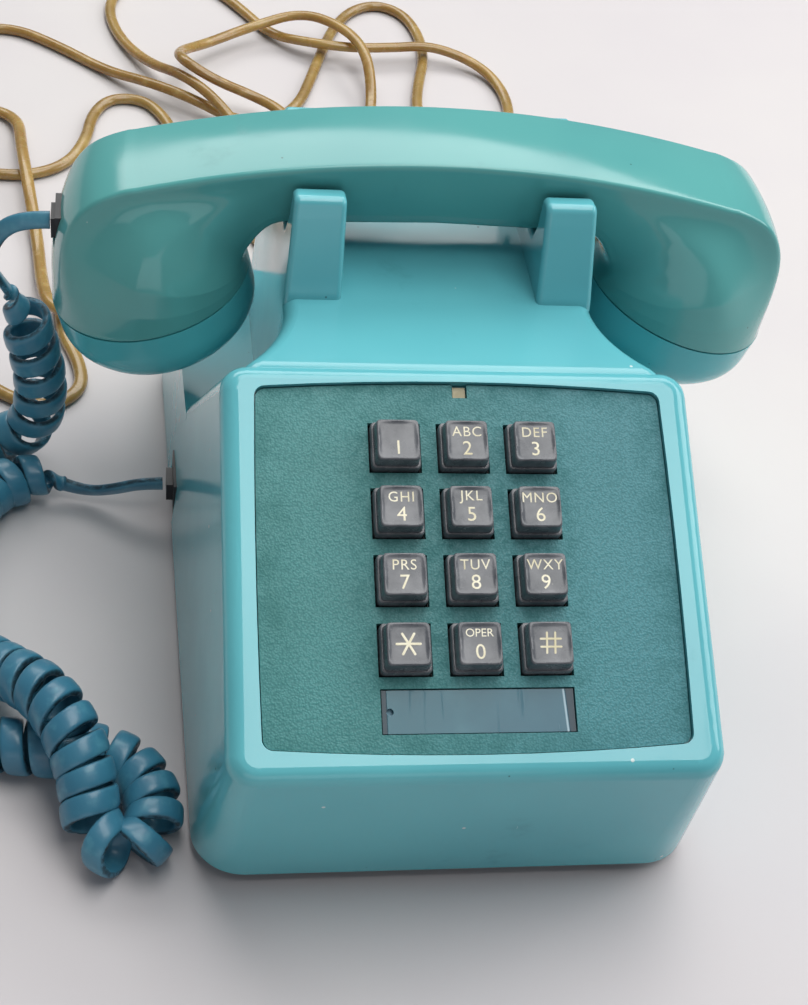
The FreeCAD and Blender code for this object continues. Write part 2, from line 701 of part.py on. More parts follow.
def keyPlaces():
    """Column and row expressions of the twelve keys, from the top left."""
    return [("%s * keyPitch" % column, "%s * keyPitch" % row)
            for row in (1.5, 0.5, -0.5, -1.5) for column in (-1, 0, 1)]


def makeFaceplate():
    plate = body("faceplateBody")
    sketch = sketchOn(plate, "XY_Plane")
    corners = [("-plateHalf", "-plateDown"), ("plateHalf", "-plateDown"),
               ("plateHalf", "plateUp"), ("-plateHalf", "plateUp")]
    bows = ["plateBow", "plateSideBow", "plateBow", "plateSideBow"]
    sides = [arcSide(sketch, corners[i], corners[(i + 1) % 4], bows[i]) for i in range(4)]
    for i, side in enumerate(sides):
        sketch.addConstraint(Sketcher.Constraint("Coincident", side, 2, sides[(i + 1) % 4], 1))
        pin(sketch, side, 1, *corners[i])
    blank = pad(plate, sketch, "plateThick", back=True)
    doc.recompute()
    uprights = ["Edge%d" % (n + 1) for n, edge in enumerate(blank.Shape.Edges)
                if edge.BoundBox.ZLength > size.plateThick - 0.01]
    corner = plate.newObject("PartDesign::Fillet", "corners")
    corner.Base = (blank, uprights)
    bind(corner, Radius="plateCorner")
    doc.recompute()
    back = sketchOn(plate, "XY_Plane")
    rectangle(back, "cardWide + 4", "cardHigh + 2", 0, "-cardDown")
    pad(plate, back, "plateThick + cardFloor", back=True)
    window = sketchOn(plate, "XY_Plane")
    rectangle(window, "cardWide", "cardHigh", 0, "-cardDown")
    pocket(plate, window, "plateThick")
    holes = sketchOn(plate, "XY_Plane")
    for x, y in keyPlaces():
        rectangle(holes, "keyHole", "keyHole", x, y)
    rectangle(holes, "latchWide", "2 * latchHigh", 0, "plateUp + plateBow")
    pocket(plate, holes)
    return plate


faceplate = subPart("faceplate", makeFaceplate(), facePlacement())


def onFace(label, thing):
    """Moves what was drawn about the keypad centre into the face's frame."""
    movable = group(thing) if thing.ExpressionEngine else thing
    return subPart(label, movable, facePlacement())


onFace("number_card", box("cardWide - 2", "cardHigh - 1.6", 0.3, 0, "-cardDown", "-plateThick"))
lens = box("cardWide - 0.6", "cardHigh - 0.6", "lensThick", 0, "-cardDown", "-plateThick + 0.3")
lensTab = rod(0.9, "lensThick + 1", "-cardWide / 2 + 2.2", "-cardDown", "-plateThick")
onFace("card_lens", cut(lens, lensTab))


def makeLatch():
    """A spring catch that hooks the faceplate's upper edge over the housing's ledge."""
    catch = body("latchBody")
    sketch = sketchOn(catch, "YZ_Plane")
    top, under = "(plateUp + plateBow)", "-(faceShell - bezelRise)"
    tip, step, heel = top + " - 0.4", top + " - latchHigh + 0.3", top + " - 6"
    hook, inner = top + " + 0.6", top + " - ledge - 0.3"
    seat, button, sole = "-plateThick", "-plateThick + 1.2", under + " - 1.5"
    outline(sketch, [(tip, seat), (tip, button), (step, button), (step, seat), (heel, seat),
                     (heel, sole), (hook, sole), (hook, under), (inner, under), (inner, seat)])
    strip = pad(catch, sketch, "latchWide - 0.6")
    strip.Midplane = True
    return catch


onFace("faceplate_latch", makeLatch())


def makeKeypadFrame():
    """A block with a well for each key, on two rails that stand on the circuit board."""
    frame = body("keypadFrameBody")
    sketch = sketchOn(frame, "XY_Plane")
    rectangle(sketch, "2 * frameHalf", "frameUp + frameDown", 0, "(frameUp - frameDown) / 2")
    pad(frame, sketch, "frameDeep", back=True)
    rails = sketchOn(frame, "XY_Plane")
    for x in ("frameHalf - railWide / 2", "-frameHalf + railWide / 2"):
        rectangle(rails, "railWide", "frameUp + frameDown", x, "(frameUp - frameDown) / 2")
    pad(frame, rails, "boardDrop - plateThick - frameGap", back=True)
    wells = sketchOn(frame, "XY_Plane")
    for x, y in keyPlaces():
        rectangle(wells, "keyWell", "keyWell", x, y)
    pocket(frame, wells)
    return frame


frameTop = "-plateThick - frameGap"
keypadBody = makeKeypadFrame()
bind(keypadBody, Placement_Base_z=frameTop)
screwUps = ("-bracketScrewDown", "bracketScrewUp")
screwDeep = "(%s) - bracketScrewDeep" % frameTop
bracketOuter = "(frameHalf + sideThick)"
screwTip = "(keyPitch + keyWell / 2 + screwTipWall)"
screwLong = "(%s - %s)" % (bracketOuter, screwTip)
sideHoles = [rod("screwRadius", screwLong, x, y, screwDeep, "X")
             for x in (screwTip, "-" + bracketOuter) for y in screwUps]
onFace("keypad_frame", cut(keypadBody, *sideHoles))

keyFoot = "-(plateThick + frameGap + frameDeep + lipGap)"
keyNames = ["1", "2", "3", "4", "5", "6", "7", "8", "9", "star", "0", "hash"]
for name, (x, y) in zip(keyNames, keyPlaces()):
    skirt = box("keySkirt", "keySkirt", "skirtRise - (%s)" % keyFoot, x, y, keyFoot)
    lip = box("keyLip", "keyLip", "lipThick", x, y, "(%s) - lipThick" % keyFoot)
    cap = taper("capFoot", "capTop", "capRise - skirtRise", x, y, "skirtRise")
    dish = ball("dishRadius", x, y, "capRise + dishRadius - dishDeep")
    springRoom = "springHigh + keyTravel + pressGap - (boardDrop + (%s) - lipThick)" % keyFoot
    bore = rod("springOuter + 0.5", springRoom, x, y, "(%s) - lipThick" % keyFoot)
    stem = rod("stemRadius", "(%s) + 0.4" % springRoom, x, y, "(%s) - lipThick - 0.2" % keyFoot)
    onFace("key_" + name, fuse(cut(fuse(skirt, lip, cap), dish, bore), stem))

springs = [cut(rod("springOuter", "springHigh", x, y, "-boardDrop"),
               rod("springInner", "springHigh + 1", x, y, "-boardDrop")) for x, y in keyPlaces()]
onFace("key_springs", group(*springs))

boardUnder = "-boardDrop - boardThick"
onFace("keypad_board", box("2 * frameHalf - 1", "frameUp + frameDown - 1", "boardThick", 0,
                           "(frameUp - frameDown) / 2", boardUnder))
parts = [rod(9, 12, x, 18, "%s - 12" % boardUnder) for x in (-12, 12)]
parts += [box(9, 5, 7, x, -6, "%s - 7" % boardUnder) for x in (-18, -6, 6, 18)]
parts += [rod(1.4, 9, x, -18, "%s - 1.6" % boardUnder, "X") for x in (-20, -4.5, 11)]
parts += [box(22, 8, 6, 0, -28, "%s - 6" % boardUnder)]
onFace("keypad_components", group(*parts))


def makeBracket(side):
    """A folded side plate that carries the keypad from the base plate."""
    low = size.baseZ + size.baseThick
    above = [faceSpot(0, up, -size.plateThick - size.frameGap - 1) for up in (-22, 14)]
    profile = [(above[0].y, low), (above[1].y, low), (above[1].y, above[1].z), (above[0].y, above[0].z)]
    inner = size.frameHalf
    plate = sideways(profile, [0, 0, 4, 4], inner, inner + size.sideThick)
    reach = above[1].y - above[0].y
    flange = Part.makeBox(11, reach, size.sideThick, Vector(inner, above[0].y, low))
    plate = plate.fuse(flange).removeSplitter()
    for up in (-size.bracketScrewDown, size.bracketScrewUp):
        spot = faceSpot(inner - 1, up, -size.plateThick - size.frameGap - size.bracketScrewDeep)
        hole = Part.makeCylinder(size.screwRadius + size.screwFit, 6, spot, Vector(1, 0, 0))
        plate = plate.cut(hole)
    return plate if side > 0 else plate.mirror(Vector(), Vector(1, 0, 0))


subPart("keypad_brackets", group(solid(makeBracket(-1)), solid(makeBracket(1))))

sideScrews = []
for y in screwUps:
    sideScrews.append(fuse(rod("screwRadius", screwLong, screwTip, y, screwDeep, "X"),
                           rod("2 * screwRadius", 1.6, bracketOuter, y, screwDeep, "X")))
    sideScrews.append(fuse(rod("screwRadius", screwLong, "-" + bracketOuter, y, screwDeep, "X"),
                           rod("2 * screwRadius", 1.6, "-%s - 1.6" % bracketOuter, y, screwDeep, "X")))
onFace("keypad_screws", group(*sideScrews))

# The base plate, its feet and its screws.

baseTop = "baseZ + baseThick"


def baseOutline(inset, z):
    shrink = size.wall + size.baseGap + inset
    front, rear = size.footFront + shrink, size.footRear - shrink
    corner = max(size.footCorner - shrink, 1) + size.baseCornerEase
    return roundedWire(
        [Vector(-footHalf(front) + shrink, front, z), Vector(footHalf(front) - shrink, front, z),
         Vector(footHalf(rear) - shrink, rear, z), Vector(-footHalf(rear) + shrink, rear, z)], [corner] * 4)


def basePan():
    full = Part.Face(baseOutline(0, size.baseZ)).extrude(Vector(0, 0, size.baseRim))
    room = Part.Face(baseOutline(size.baseThick, size.baseZ + size.baseThick)).extrude(
        Vector(0, 0, size.baseRim))
    return full.cut(room)


frontFoot, rearFoot = "footFront + frontFootIn", "footRear - rearFootIn"
feetPlaces = [("frontFootX", frontFoot), ("-frontFootX", frontFoot),
              ("rearFootX", rearFoot), ("-rearFootX", rearFoot)]
wheelSlot = box(5.4, "2 * wheelRadius + 1", "baseThick + 4", 0, "wheelY", "baseZ - 2")
plateHoles = [rod("footStem + stemFit", 6, x, y, "baseZ - 2") for x, y in feetPlaces]
plateHoles += [rod("screwRadius + screwFit", 6, 0, y, "baseZ - 2") for y in (frontBoss, rearBoss)]
jackNotch = box(20, "jackWide + 1", "baseRim + 2", "-footRearHalf + 5", "jackY", baseTop)
bossNotches = [box("2 * (bossRadius + ribFit)", "2 * bossRadius", "baseRim", 0, y, baseTop)
               for y in ("footFront + wall + baseGap", "footRear - wall - baseGap")]
subPart("base_plate", cut(solid(basePan()), wheelSlot, jackNotch, *bossNotches, *plateHoles))

feet = []
for x, y in feetPlaces:
    sole = cone("footRadius - 1", "footRadius", "baseZ", x, y, 0)
    stem = rod("footStem", "baseThick + 2", x, y, "baseZ - 0.5")
    head = cone("footStem + 1", "footStem - 0.4", 2.5, x, y, baseTop)
    feet.append(fuse(sole, stem, head))
subPart("rubber_feet", group(*feet))

casingScrews = [fuse(rod("screwRadius", 18, 0, y, "baseZ - 0.5"), cone(2.6, 3.2, 1.6, 0, y, "baseZ - 1.6"))
                for y in (frontBoss, rearBoss)]
subPart("housing_screws", group(*casingScrews))

# The ringer: two gongs, a coil with its core, and a clapper between the gongs.

ringerTop = "(%s + ringerPlate)" % baseTop
ringerBed = box("2 * gongX + 14", 88, "ringerPlate", 0, 8, baseTop)
posts = [rod(3, "gongTop - gongWall - %s" % ringerTop, x, "gongY", ringerTop) for x in ("gongX", "-gongX")]
wheelEars = [box(1.6, 9, "wheelZ + 3 - %s" % ringerTop, x, "wheelY", ringerTop)
             for x in ("wheelThick / 2 + 2.4", "-wheelThick / 2 - 2.4")]
cradles = [box(2, 18, "coilZ - %s" % ringerTop, x, "coilY", ringerTop)
           for x in ("coilHalf + 3", "-coilHalf - 3")]
pivotBoss = rod(3, "pivotHigh", 0, "clapperY", ringerTop)
ringerHoles = [rod("screwRadius + screwFit", 12, x, "gongY", "gongTop - gongWall - 11")
               for x in ("gongX", "-gongX")]
ringerHoles += [box("wheelThick + 1.4", "2 * wheelRadius + 1", 6, 0, "wheelY", "baseZ"),
                rod("axleRadius + pinFit", 14, -7, "wheelY", "wheelZ", "X"),
                rod("pinRadius", "pivotHigh + 2", 0, "clapperY", baseTop),
                rod("coreRadius", "2 * coilHalf + 10", "-coilHalf - 5", "coilY", "coilZ", "X")]
subPart("ringer_frame", cut(fuse(ringerBed, pivotBoss, *posts, *wheelEars, *cradles), *ringerHoles))


def makeGong(name, x):
    outer, inner, hole = "gongRadius", "gongRadius - gongWall", "screwRadius + 0.6"
    tall = "(gongTop - gongRim)"
    under = tall + " - gongWall"
    bell = [(outer, 0), (outer, "0.45 * " + tall), ("0.86 * gongRadius", "0.8 * " + tall),
            ("0.6 * gongRadius", tall), (hole, tall), (hole, under), ("0.57 * gongRadius", under),
            ("0.82 * gongRadius", "0.72 * " + tall), (inner, "0.42 * " + tall), (inner, 0)]
    gong = revolved(name, bell)
    gong.Placement = Placement(Vector(x, size.gongY, size.gongRim), Rotation())
    return gong


subPart("gong_left", makeGong("gongLeftBody", -size.gongX))
subPart("gong_right", makeGong("gongRightBody", size.gongX))
gongScrews = [fuse(rod("screwRadius", 9, x, "gongY", "gongTop - 8"),
                   cone(3.4, 2.4, 1.8, x, "gongY", "gongTop")) for x in ("gongX", "-gongX")]

winding = rod("coilRadius - 1.5", "2 * coilHalf", "-coilHalf", "coilY", "coilZ", "X")
flanges = [rod("coilRadius", 1.5, x, "coilY", "coilZ", "X") for x in ("-coilHalf", "coilHalf - 1.5")]
subPart("ringer_coil", cut(fuse(winding, *flanges), rod("coreRadius", "2 * coilHalf + 2", "-coilHalf - 1",
                                                       "coilY", "coilZ", "X")))
subPart("ringer_core", rod("coreRadius", "2 * coilHalf + 8", "-coilHalf - 4", "coilY", "coilZ", "X"))

pivotTop = "(%s + pivotHigh)" % ringerTop
clapperHub = rod(3, "clapperHigh + 2 - %s - 0.3" % pivotTop, 0, "clapperY", "%s + 0.3" % pivotTop)
armature = box(22, 2.5, 9, 0, "clapperY + 3.2", "%s + 1.5" % pivotTop)
arm = rod(1, "clapperY - clapperBallY", 0, "clapperBallY", "clapperHigh", "Y")
clapperBall = ball(3, 0, "clapperBallY", "clapperHigh")
subPart("clapper", cut(fuse(clapperHub, armature, arm, clapperBall),
                       rod("pinRadius + pinFit", 40, 0, "clapperY", baseTop)))
subPart("clapper_pin", fuse(rod("pinRadius", "clapperHigh + 3 - (%s)" % baseTop, 0, "clapperY", baseTop),
                            rod("pinRadius + 0.8", 1, 0, "clapperY", "clapperHigh + 2.3")))

wheel = rod("wheelRadius", "wheelThick", "-wheelThick / 2", "wheelY", "wheelZ", "X")
axle = rod("axleRadius", "wheelThick + 8.4", "-wheelThick / 2 - 4.2", "wheelY", "wheelZ", "X")
teeth = []
for turn in range(18):
    toothY = "wheelY + wheelRadius * cos(%d deg)" % (20 * turn)
    toothZ = "wheelZ + wheelRadius * sin(%d deg)" % (20 * turn)
    teeth.append(rod(0.7, "wheelThick + 2", "-wheelThick / 2 - 1", toothY, toothZ, "X"))
subPart("loudness_wheel", fuse(cut(wheel, *teeth), axle))

# The network block and its terminals.

blockMiddle = "footRear - blockIn"
blockTop = "(shoulderRear - wall - blockRoof - terminalHigh)"
blockHigh = "%s - (%s)" % (blockTop, baseTop)
subPart("network_block", box("blockWide", "blockDeep", blockHigh, "blockX", blockMiddle, baseTop))
terminals = []
for column in (-1.5, -0.5, 0.5, 1.5):
    for row in (-1.2, 0, 1.2):
        x, y = "blockX + %s * terminalPitch" % column, "%s + %s * terminalPitch" % (blockMiddle, row)
        terminals.append(fuse(rod(2.2, "terminalHigh", x, y, blockTop), box(7, 6, 0.8, x, y, blockTop)))
subPart("network_terminals", group(*terminals))

# The hook switch: two plungers under the handset press a sprung lever.

for side, x in (("left", "-plungerX"), ("right", "plungerX")):
    column = rod("plungerRadius", "plungerTop - plungerFoot - 3", x, "cradleY", "plungerFoot + 3")
    tip = rod("plungerTip", 3.5, x, "cradleY", "plungerFoot")
    collar = rod("plungerRadius + collarOut", "collarThick", x, "cradleY",
                 "saddle - earRoot - plungerRise - stopGap - collarThick")
    subPart("hook_plunger_" + side, fuse(column, tip, collar))

pinHalf = "(bracketHalf + 1)"
pinLong = "2 * " + pinHalf
leverArms = [box(2, "cradleY - leverY + 8", 6, x, "(cradleY + leverY) / 2", "leverZ - 2.3")
             for x in ("bracketHalf - 5.5", "5.5 - bracketHalf")]
crossbar = box("2 * plungerX + 7.6", 8, 3, 0, "cradleY", "plungerFoot - 3.3")
pinHole = rod("axleRadius + pinFit", pinLong, "-" + pinHalf, "leverY", "leverZ", "X")
subPart("hook_lever", cut(fuse(crossbar, *leverArms), pinHole))
subPart("hook_lever_pin", rod("axleRadius", pinLong, "-" + pinHalf, "leverY", "leverZ", "X"))

plateTop = box("2 * bracketHalf", 40, "bracketThick", 0, 25, "bracketTop - bracketThick")
sideEars = [box("bracketThick", 18, "bracketTop - leverZ + 4", x, "leverY", "leverZ - 4")
            for x in ("bracketHalf - bracketThick / 2", "-bracketHalf + bracketThick / 2")]
bracketHoles = [rod("axleRadius", pinLong, "-" + pinHalf, "leverY", "leverZ", "X")]
bracketHoles += [rod("screwRadius + screwFit", 6, x, "hangerY", "bracketTop - 4")
                 for x in ("hangerX", "-hangerX")]
subPart("hook_bracket", cut(fuse(plateTop, *sideEars), *bracketHoles))
hangerScrews = [fuse(rod("screwRadius", 9, x, "hangerY", "bracketTop - bracketThick - 0.5"),
                     cone(2.2, 3, 1.6, x, "hangerY", "bracketTop - bracketThick - 1.6"))
                for x in ("hangerX", "-hangerX")]
subPart("inner_screws", group(*gongScrews, *hangerScrews))

stack = box(14, 14, 7, 0, 27, "bracketTop - bracketThick - 7")
leaves = [box(3, 16, 0.4, x, 36, "bracketTop - bracketThick - %s" % drop)
          for x in (-4, 4) for drop in (2.5, 5.5)]
subPart("hook_contacts", fuse(stack, *leaves))
coilSpring = cut(rod(3, 7, 8, "leverY", "leverZ", "X"), rod(1.9, 9, 7, "leverY", "leverZ", "X"))
upperLeg = rod(0.5, "bracketTop - bracketThick - leverZ - 1.5", 9, "leverY + 2", "leverZ + 1.5")
subPart("hook_spring", fuse(coilSpring, upperLeg))


# The handset lies across the cradle. Each cap is drawn about its own axis, with its seam at zero.


def cupPlacement(side):
    spot = Vector(side * size.cupX, size.cradleY, size.cupZ)
    return Placement(spot, Rotation(Vector(0, 1, 0), side * size.cupTilt))


def archHeight(x):
    return size.handsetTop - size.handsetArch * (x / size.archHalf) ** 2


def handsetProfile(low, high):
    """The handset from the front, extruded front to back from low to high."""
    rest = size.seat + size.restGap
    half = [(30, rest), (42, rest), (47.5, rest - 5), (50.5, 95), (49, 84), (60, 70)]
    half += [(size.endReach - 2, 66), (size.endReach, 88), (size.endReach - 2.6, 103)]
    half += [(size.archHalf + 2, 114.5), (size.archHalf - 4, archHeight(size.archHalf - 4))]
    rounds = [0, 5, 8, 14, 0, 0, 0, 30, 14, 9, 0]
    y = size.cradleY + low
    right = [Vector(x, y, z) for x, z in half]
    left = [Vector(-x, y, z) for x, z in reversed(half)]
    crown = Vector(0, y, archHeight(0))
    edges = roundedEdges(right, rounds, False)
    edges.append(Part.Arc(right[-1], crown, left[0]).toShape())
    edges += roundedEdges(left, rounds[::-1], False)
    edges.append(Part.Arc(left[-1], Vector(0, y, size.handleBottom), right[0]).toShape())
    return Part.Face(Part.Wire(edges)).extrude(Vector(0, high - low, 0))


def handle():
    bar = handsetProfile(-size.handleHalf, size.handleHalf)
    low, high = size.seat, size.handsetTop
    lean = (size.handleHalf - size.handleFoot) / (size.handsetTop - size.handleBottom)
    down = size.cupZ - 20
    wide = size.handleHalf
    narrow = max(size.handleHalf - lean * (high - down), 6)
    section = [Vector(-120, size.cradleY - wide, high), Vector(-120, size.cradleY + wide, high),
               Vector(-120, size.cradleY + narrow, down), Vector(-120, size.cradleY - narrow, down)]
    wedge = Part.Face(Part.makePolygon(section + section[:1])).extrude(Vector(240, 0, 0))
    return bar.common(wedge)


def cup(side):
    frame = cupPlacement(side)
    seam = Part.Wire(Part.makeCircle(size.cupRadius, Vector(0, 0, 0)))
    collar = Part.Wire(Part.makeCircle(size.cupRadius - 0.4, Vector(0, 0, 4)))
    root = Vector(side * (size.cupX + 2), size.cradleY, size.handsetTop)
    crown = Part.Wire(Part.makeCircle(size.cupRootRadius, frame.inverse().multVec(root)))
    skirt = Part.makeLoft([seam, collar], True, True)
    rise = Part.makeLoft([collar, crown], True, True)
    lump = skirt.fuse(rise)
    lump.Placement = frame
    return lump


def handsetShape():
    silhouette = handsetProfile(-40, 40)
    whole = handle().fuse([cup(side).common(silhouette) for side in (1, -1)])
    for side in (1, -1):
        frame = cupPlacement(side)
        under = Part.makeBox(120, 120, 40, Vector(-60, -60, -40))
        under.Placement = frame
        whole = whole.cut(under)
    for side in (1, -1):
        frame = cupPlacement(side)
        ring = Part.makeCylinder(size.neckRing, size.neckReach + 1, Vector(0, 0, -size.neckReach))
        cavity = Part.makeCylinder(size.neckBore, size.neckReach + 3, Vector(0, 0, -size.neckReach))
        dome = Part.makeCone(size.neckBore, size.neckBore - 8, 11, Vector(0, 0, 3))
        ring.Placement = frame
        cavity.Placement = frame
        dome.Placement = frame
        whole = whole.fuse(ring).cut([cavity, dome])
    wire, height, reach = size.wireBore, size.handsetTop - 16, size.cupX - 4
    bore = Part.makeCylinder(wire, 2 * reach, Vector(-reach, size.cradleY, height), Vector(1, 0, 0))
    drops = []
    for side in (1, -1):
        foot = Vector(side * (reach - wire - 1), size.cradleY, size.cupZ + 6)
        drops.append(Part.makeCylinder(wire - 1, height - foot.z, foot))
    jackRoom = middleBlock(2 * size.handsetJackDeep + 3, size.plugWide + 5.4, size.plugHigh + 4.6,
                           -size.endReach, size.cradleY, size.handsetJackZ - size.plugHigh / 2 - 2.3)
    return whole.cut([bore] + drops + [jackRoom]).removeSplitter()


subPart("handset_body", solid(handsetShape()))


def capShape(holes):
    radius, step, foot = size.cupRadius, size.neckReach + 1.6, -size.capHigh
    thread, room = size.neckRing + size.threadFit, size.capsuleRadius + 0.7
    profile = [(0, foot), (radius - 7, foot), (radius, foot + 9), (radius, -size.seam),
               (thread, -size.seam), (thread, -step), (room, -step), (room, foot + 6),
               (radius - 9, foot + size.capWall), (0, foot + size.capWall)]
    wire = roundedWire([Vector(r, 0, z) for r, z in profile], [0, 12, 12, 0, 0, 0, 0, 0, 0, 0])
    shell = Part.Face(wire).revolve(Vector(), Vector(0, 0, 1), 360)
    return shell.cut([Part.makeCylinder(1.2, size.capHigh, Vector(x, y, foot - 1)) for x, y in holes])


def ringOf(count, radius):
    return [(radius * cos(2 * pi * i / count), radius * sin(2 * pi * i / count)) for i in range(count)]


subPart("transmitter_cap", solid(capShape(ringOf(6, 5) + ringOf(12, 11) + [(0, 0)])), cupPlacement(-1))
subPart("receiver_cap", solid(capShape(ringOf(6, 6) + [(0, 0)])), cupPlacement(1))


def capsule(name, side, deep):
    """A round capsule whose flange lies between the handset's ring and the cap's step."""
    front, flange, ring = "-neckReach - %s" % deep, "-neckReach - 1.5", "neckRing - 0.1"
    section = [(0, front), ("capsuleRadius - 3", front), ("capsuleRadius", flange), (ring, flange),
               (ring, "-neckReach"), ("capsuleRadius", "-neckReach"), ("capsuleRadius - 4", 5), (0, 5)]
    owner = revolved(name, section)
    owner.Placement = cupPlacement(side)
    return owner


subPart("transmitter_capsule", capsule("transmitterBody", -1, 6))
subPart("receiver_capsule", capsule("receiverBody", 1, 4))

# Jacks, plugs and the line cord's grommet.


def socket(x, y, z):
    """The room for a plug in a jack that opens towards -X at x."""
    return box("plugLong + 1", "plugWide + 2 * plugFit", "plugHigh + 2 * plugFit",
               "%s + (plugLong - 1) / 2" % x, y, "(%s) - plugHigh / 2 - plugFit" % z)


def plug(x, y, z):
    """A cord plug in its jack, with the cord's end at x."""
    return box("plugLong", "plugWide", "plugHigh", "%s + plugLong / 2" % x, y, "(%s) - plugHigh / 2" % z)


jackShare = "(jackY - footFront) / (footRear - footFront)"
wallAtJack = "(footFrontHalf + %s * (footRearHalf - footFrontHalf))" % jackShare
jackFace = "(0.6 - %s)" % wallAtJack
bezel = box("jackDeep", "jackWide", "jackHigh", "%s + jackDeep / 2" % jackFace,
            "jackY", "jackZ - jackHigh / 2")
subPart("base_handset_jack", cut(bezel, socket(jackFace, "jackY", "jackZ")))
baseExit = "(%s - 2)" % jackFace
subPart("base_handset_plug", plug(baseExit, "jackY", "jackZ"))

mouth = "(1.2 - endReach)"
handsetJack = box("handsetJackDeep", "plugWide + 4", "plugHigh + 3.4", "%s + handsetJackDeep / 2" % mouth,
                  "cradleY", "handsetJackZ - plugHigh / 2 - 1.7")
subPart("handset_jack", cut(handsetJack, socket(mouth, "cradleY", "handsetJackZ")))
handsetExit = "(-endReach)"
subPart("handset_plug", plug(handsetExit, "cradleY", "handsetJackZ"))


# The cords. A route is a list of points, and the tube runs straight between arcs as large as the
# two runs beside each point allow.


def cordPath(points):
    spots = [Vector(*point) for point in points]
    radii = [0]
    for i in range(1, len(spots) - 1):
        back, ahead = spots[i - 1] - spots[i], spots[i + 1] - spots[i]
        radii.append(0.45 * min(back.Length, ahead.Length) * tan(back.getAngle(ahead) / 2))
    return Part.Wire(roundedEdges(spots, radii + [0], False)), radii[1:]


def cordTube(name, points, diameter):
    path, radii = cordPath(points)
    start = Vector(*points[0])
    ring = Part.Wire(Part.makeCircle(diameter / 2, start, Vector(*points[1]) - start))
    tube = path.makePipeShell([ring], True, False)
    expected = pi * diameter ** 2 / 4 * path.Length
    print("%s: length %.0f, volume %.4f of section times length, radii %s" % (
        name, path.Length, tube.Volume / expected, " ".join("%.0f" % radius for radius in radii)))
    return tube


# The handset's cord: a lead from the handset's jack, the coiled length, and a lead to the base.
coilRest = size.coilCord / 2 + 0.2
handsetEnd = (value(handsetExit) - size.restGap, size.cradleY, size.handsetJackZ)
baseEnd = (value(baseExit), size.jackY, size.jackZ)
coilTop = (-114, 54, 66)
handsetLeadRoute = [handsetEnd, (-113, size.cradleY, size.handsetJackZ), (-120, 52, 93), (-123, 53.5, 83),
                    (-119, 54, 74), coilTop]
coilRoute = [coilTop, (-111, 54.5, 51), (-109, 55.5, 35), (-111, 57, 18), (-120, 59, coilRest),
             (-134, 58, coilRest), (-146, 49, coilRest), (-151, 32, coilRest), (-152, 8, coilRest),
             (-151, -18, coilRest), (-146, -42, coilRest), (-134, -55, coilRest), (-119, -59, coilRest),
             (-104, -61, coilRest), (-91, -62, coilRest), (-81, -68, coilRest), (-76, -79, coilRest),
             (-76.3, -90, coilRest), (-86.1, -95.7, coilRest), (-96, -90, 9.5), (-98, -78, 16.5),
             (-101, -66, 25), (-106, -54, 25), (-117, -41, 18), (-128, -28, 10.5),
             (-132, -8, coilRest), (-132, 14, coilRest), (-128, 32, coilRest), (-119, 41, coilRest),
             (-108, 42, coilRest)]
coilEnd = coilRoute[-1]
baseLeadRoute = [baseEnd, (-79, size.jackY, size.jackZ), (-87, 37, 8.5), (-94, 39.5, 5), (-101, 41, 5.5),
                 coilEnd]

subPart("handset_cord_lead", solid(cordTube("handset_cord_lead", handsetLeadRoute, size.leadCord)))
subPart("handset_cord_coil", solid(cordTube("handset_cord_coil", coilRoute, size.coilCord)))
subPart("handset_cord_tail", solid(cordTube("handset_cord_tail", baseLeadRoute, size.leadCord)))

# The line cord leaves the rear wall, lies in loose loops behind and beside the telephone, and ends
# in a neat coil close behind it.
floorRest = size.lineCord / 2 + 0.05
rimTop = size.grommetZ + size.outletRadius + size.outletRim
rearBulge = max(0, -sideLean()) * (rimTop - size.housingFoot)
grommetFace = size.footRear + rearBulge + 4
lineRoute = [(size.grommetX, grommetFace, size.grommetZ), (-22, 126, 11), (-24, 141, 4.5)]
lineRoute += [(x, y, floorRest) for x, y in (
    (-31, 163), (-42, 188), (-54, 214), (-64, 236), (-70, 252), (-78, 262), (-89, 262), (-96, 251),
    (-99, 234), (-106, 217), (-120, 209), (-138, 210), (-154, 220), (-164, 240), (-166, 266),
    (-160, 292), (-148, 310), (-130, 314), (-111, 301), (-92, 284))]
lineRoute += [(-74, 268, 7.8), (-58, 258, 7.8)]
lineRoute += [(x, y, floorRest) for x, y in (
    (-40, 251), (-24, 253), (-14, 266), (-8, 285), (-2, 306), (5, 327), (14, 342), (26, 348), (37, 341),
    (42, 324), (42, 304), (37, 284), (34, 264), (38, 247), (50, 238), (64, 243), (72, 257), (74, 275))]
lineRoute += [(70, 292, 3), (60, 302, 5), (44, 306, 8), (28, 303, 8), (10, 301, 8), (-8, 304, 8)]
lineRoute += [(x, y, floorRest) for x, y in (
    (-23, 318), (-36, 341), (-48, 357), (-66, 364), (-84, 356), (-92, 335), (-87, 310))]
lineRoute += [(-75, 287, 5), (-62, 268, 12.5), (-50, 253, 12.5), (-37, 238, 4), (-18, 228, floorRest),
              (0, 233, floorRest), (12, 248, floorRest), (16, 269, 5), (15, 290, 13), (7, 308, 13.5),
              (-10, 320, 13), (-32, 314, 8), (-51, 299, 8), (-63, 284, 13), (-62, 269, 18.5),
              (-49, 262, 14), (-33, 261, 8), (-22, 251, 8), (-17, 235, 8), (-22, 218, 8),
              (-36, 203, 8), (-54, 195, 8)]
lineRoute += [(x, y, floorRest) for x, y in (
    (-76, 186), (-96, 170), (-106, 146), (-106, 121), (-99, 103), (-98, 90), (-107, 81), (-120, 84),
    (-134, 97), (-146, 118), (-150, 148))]
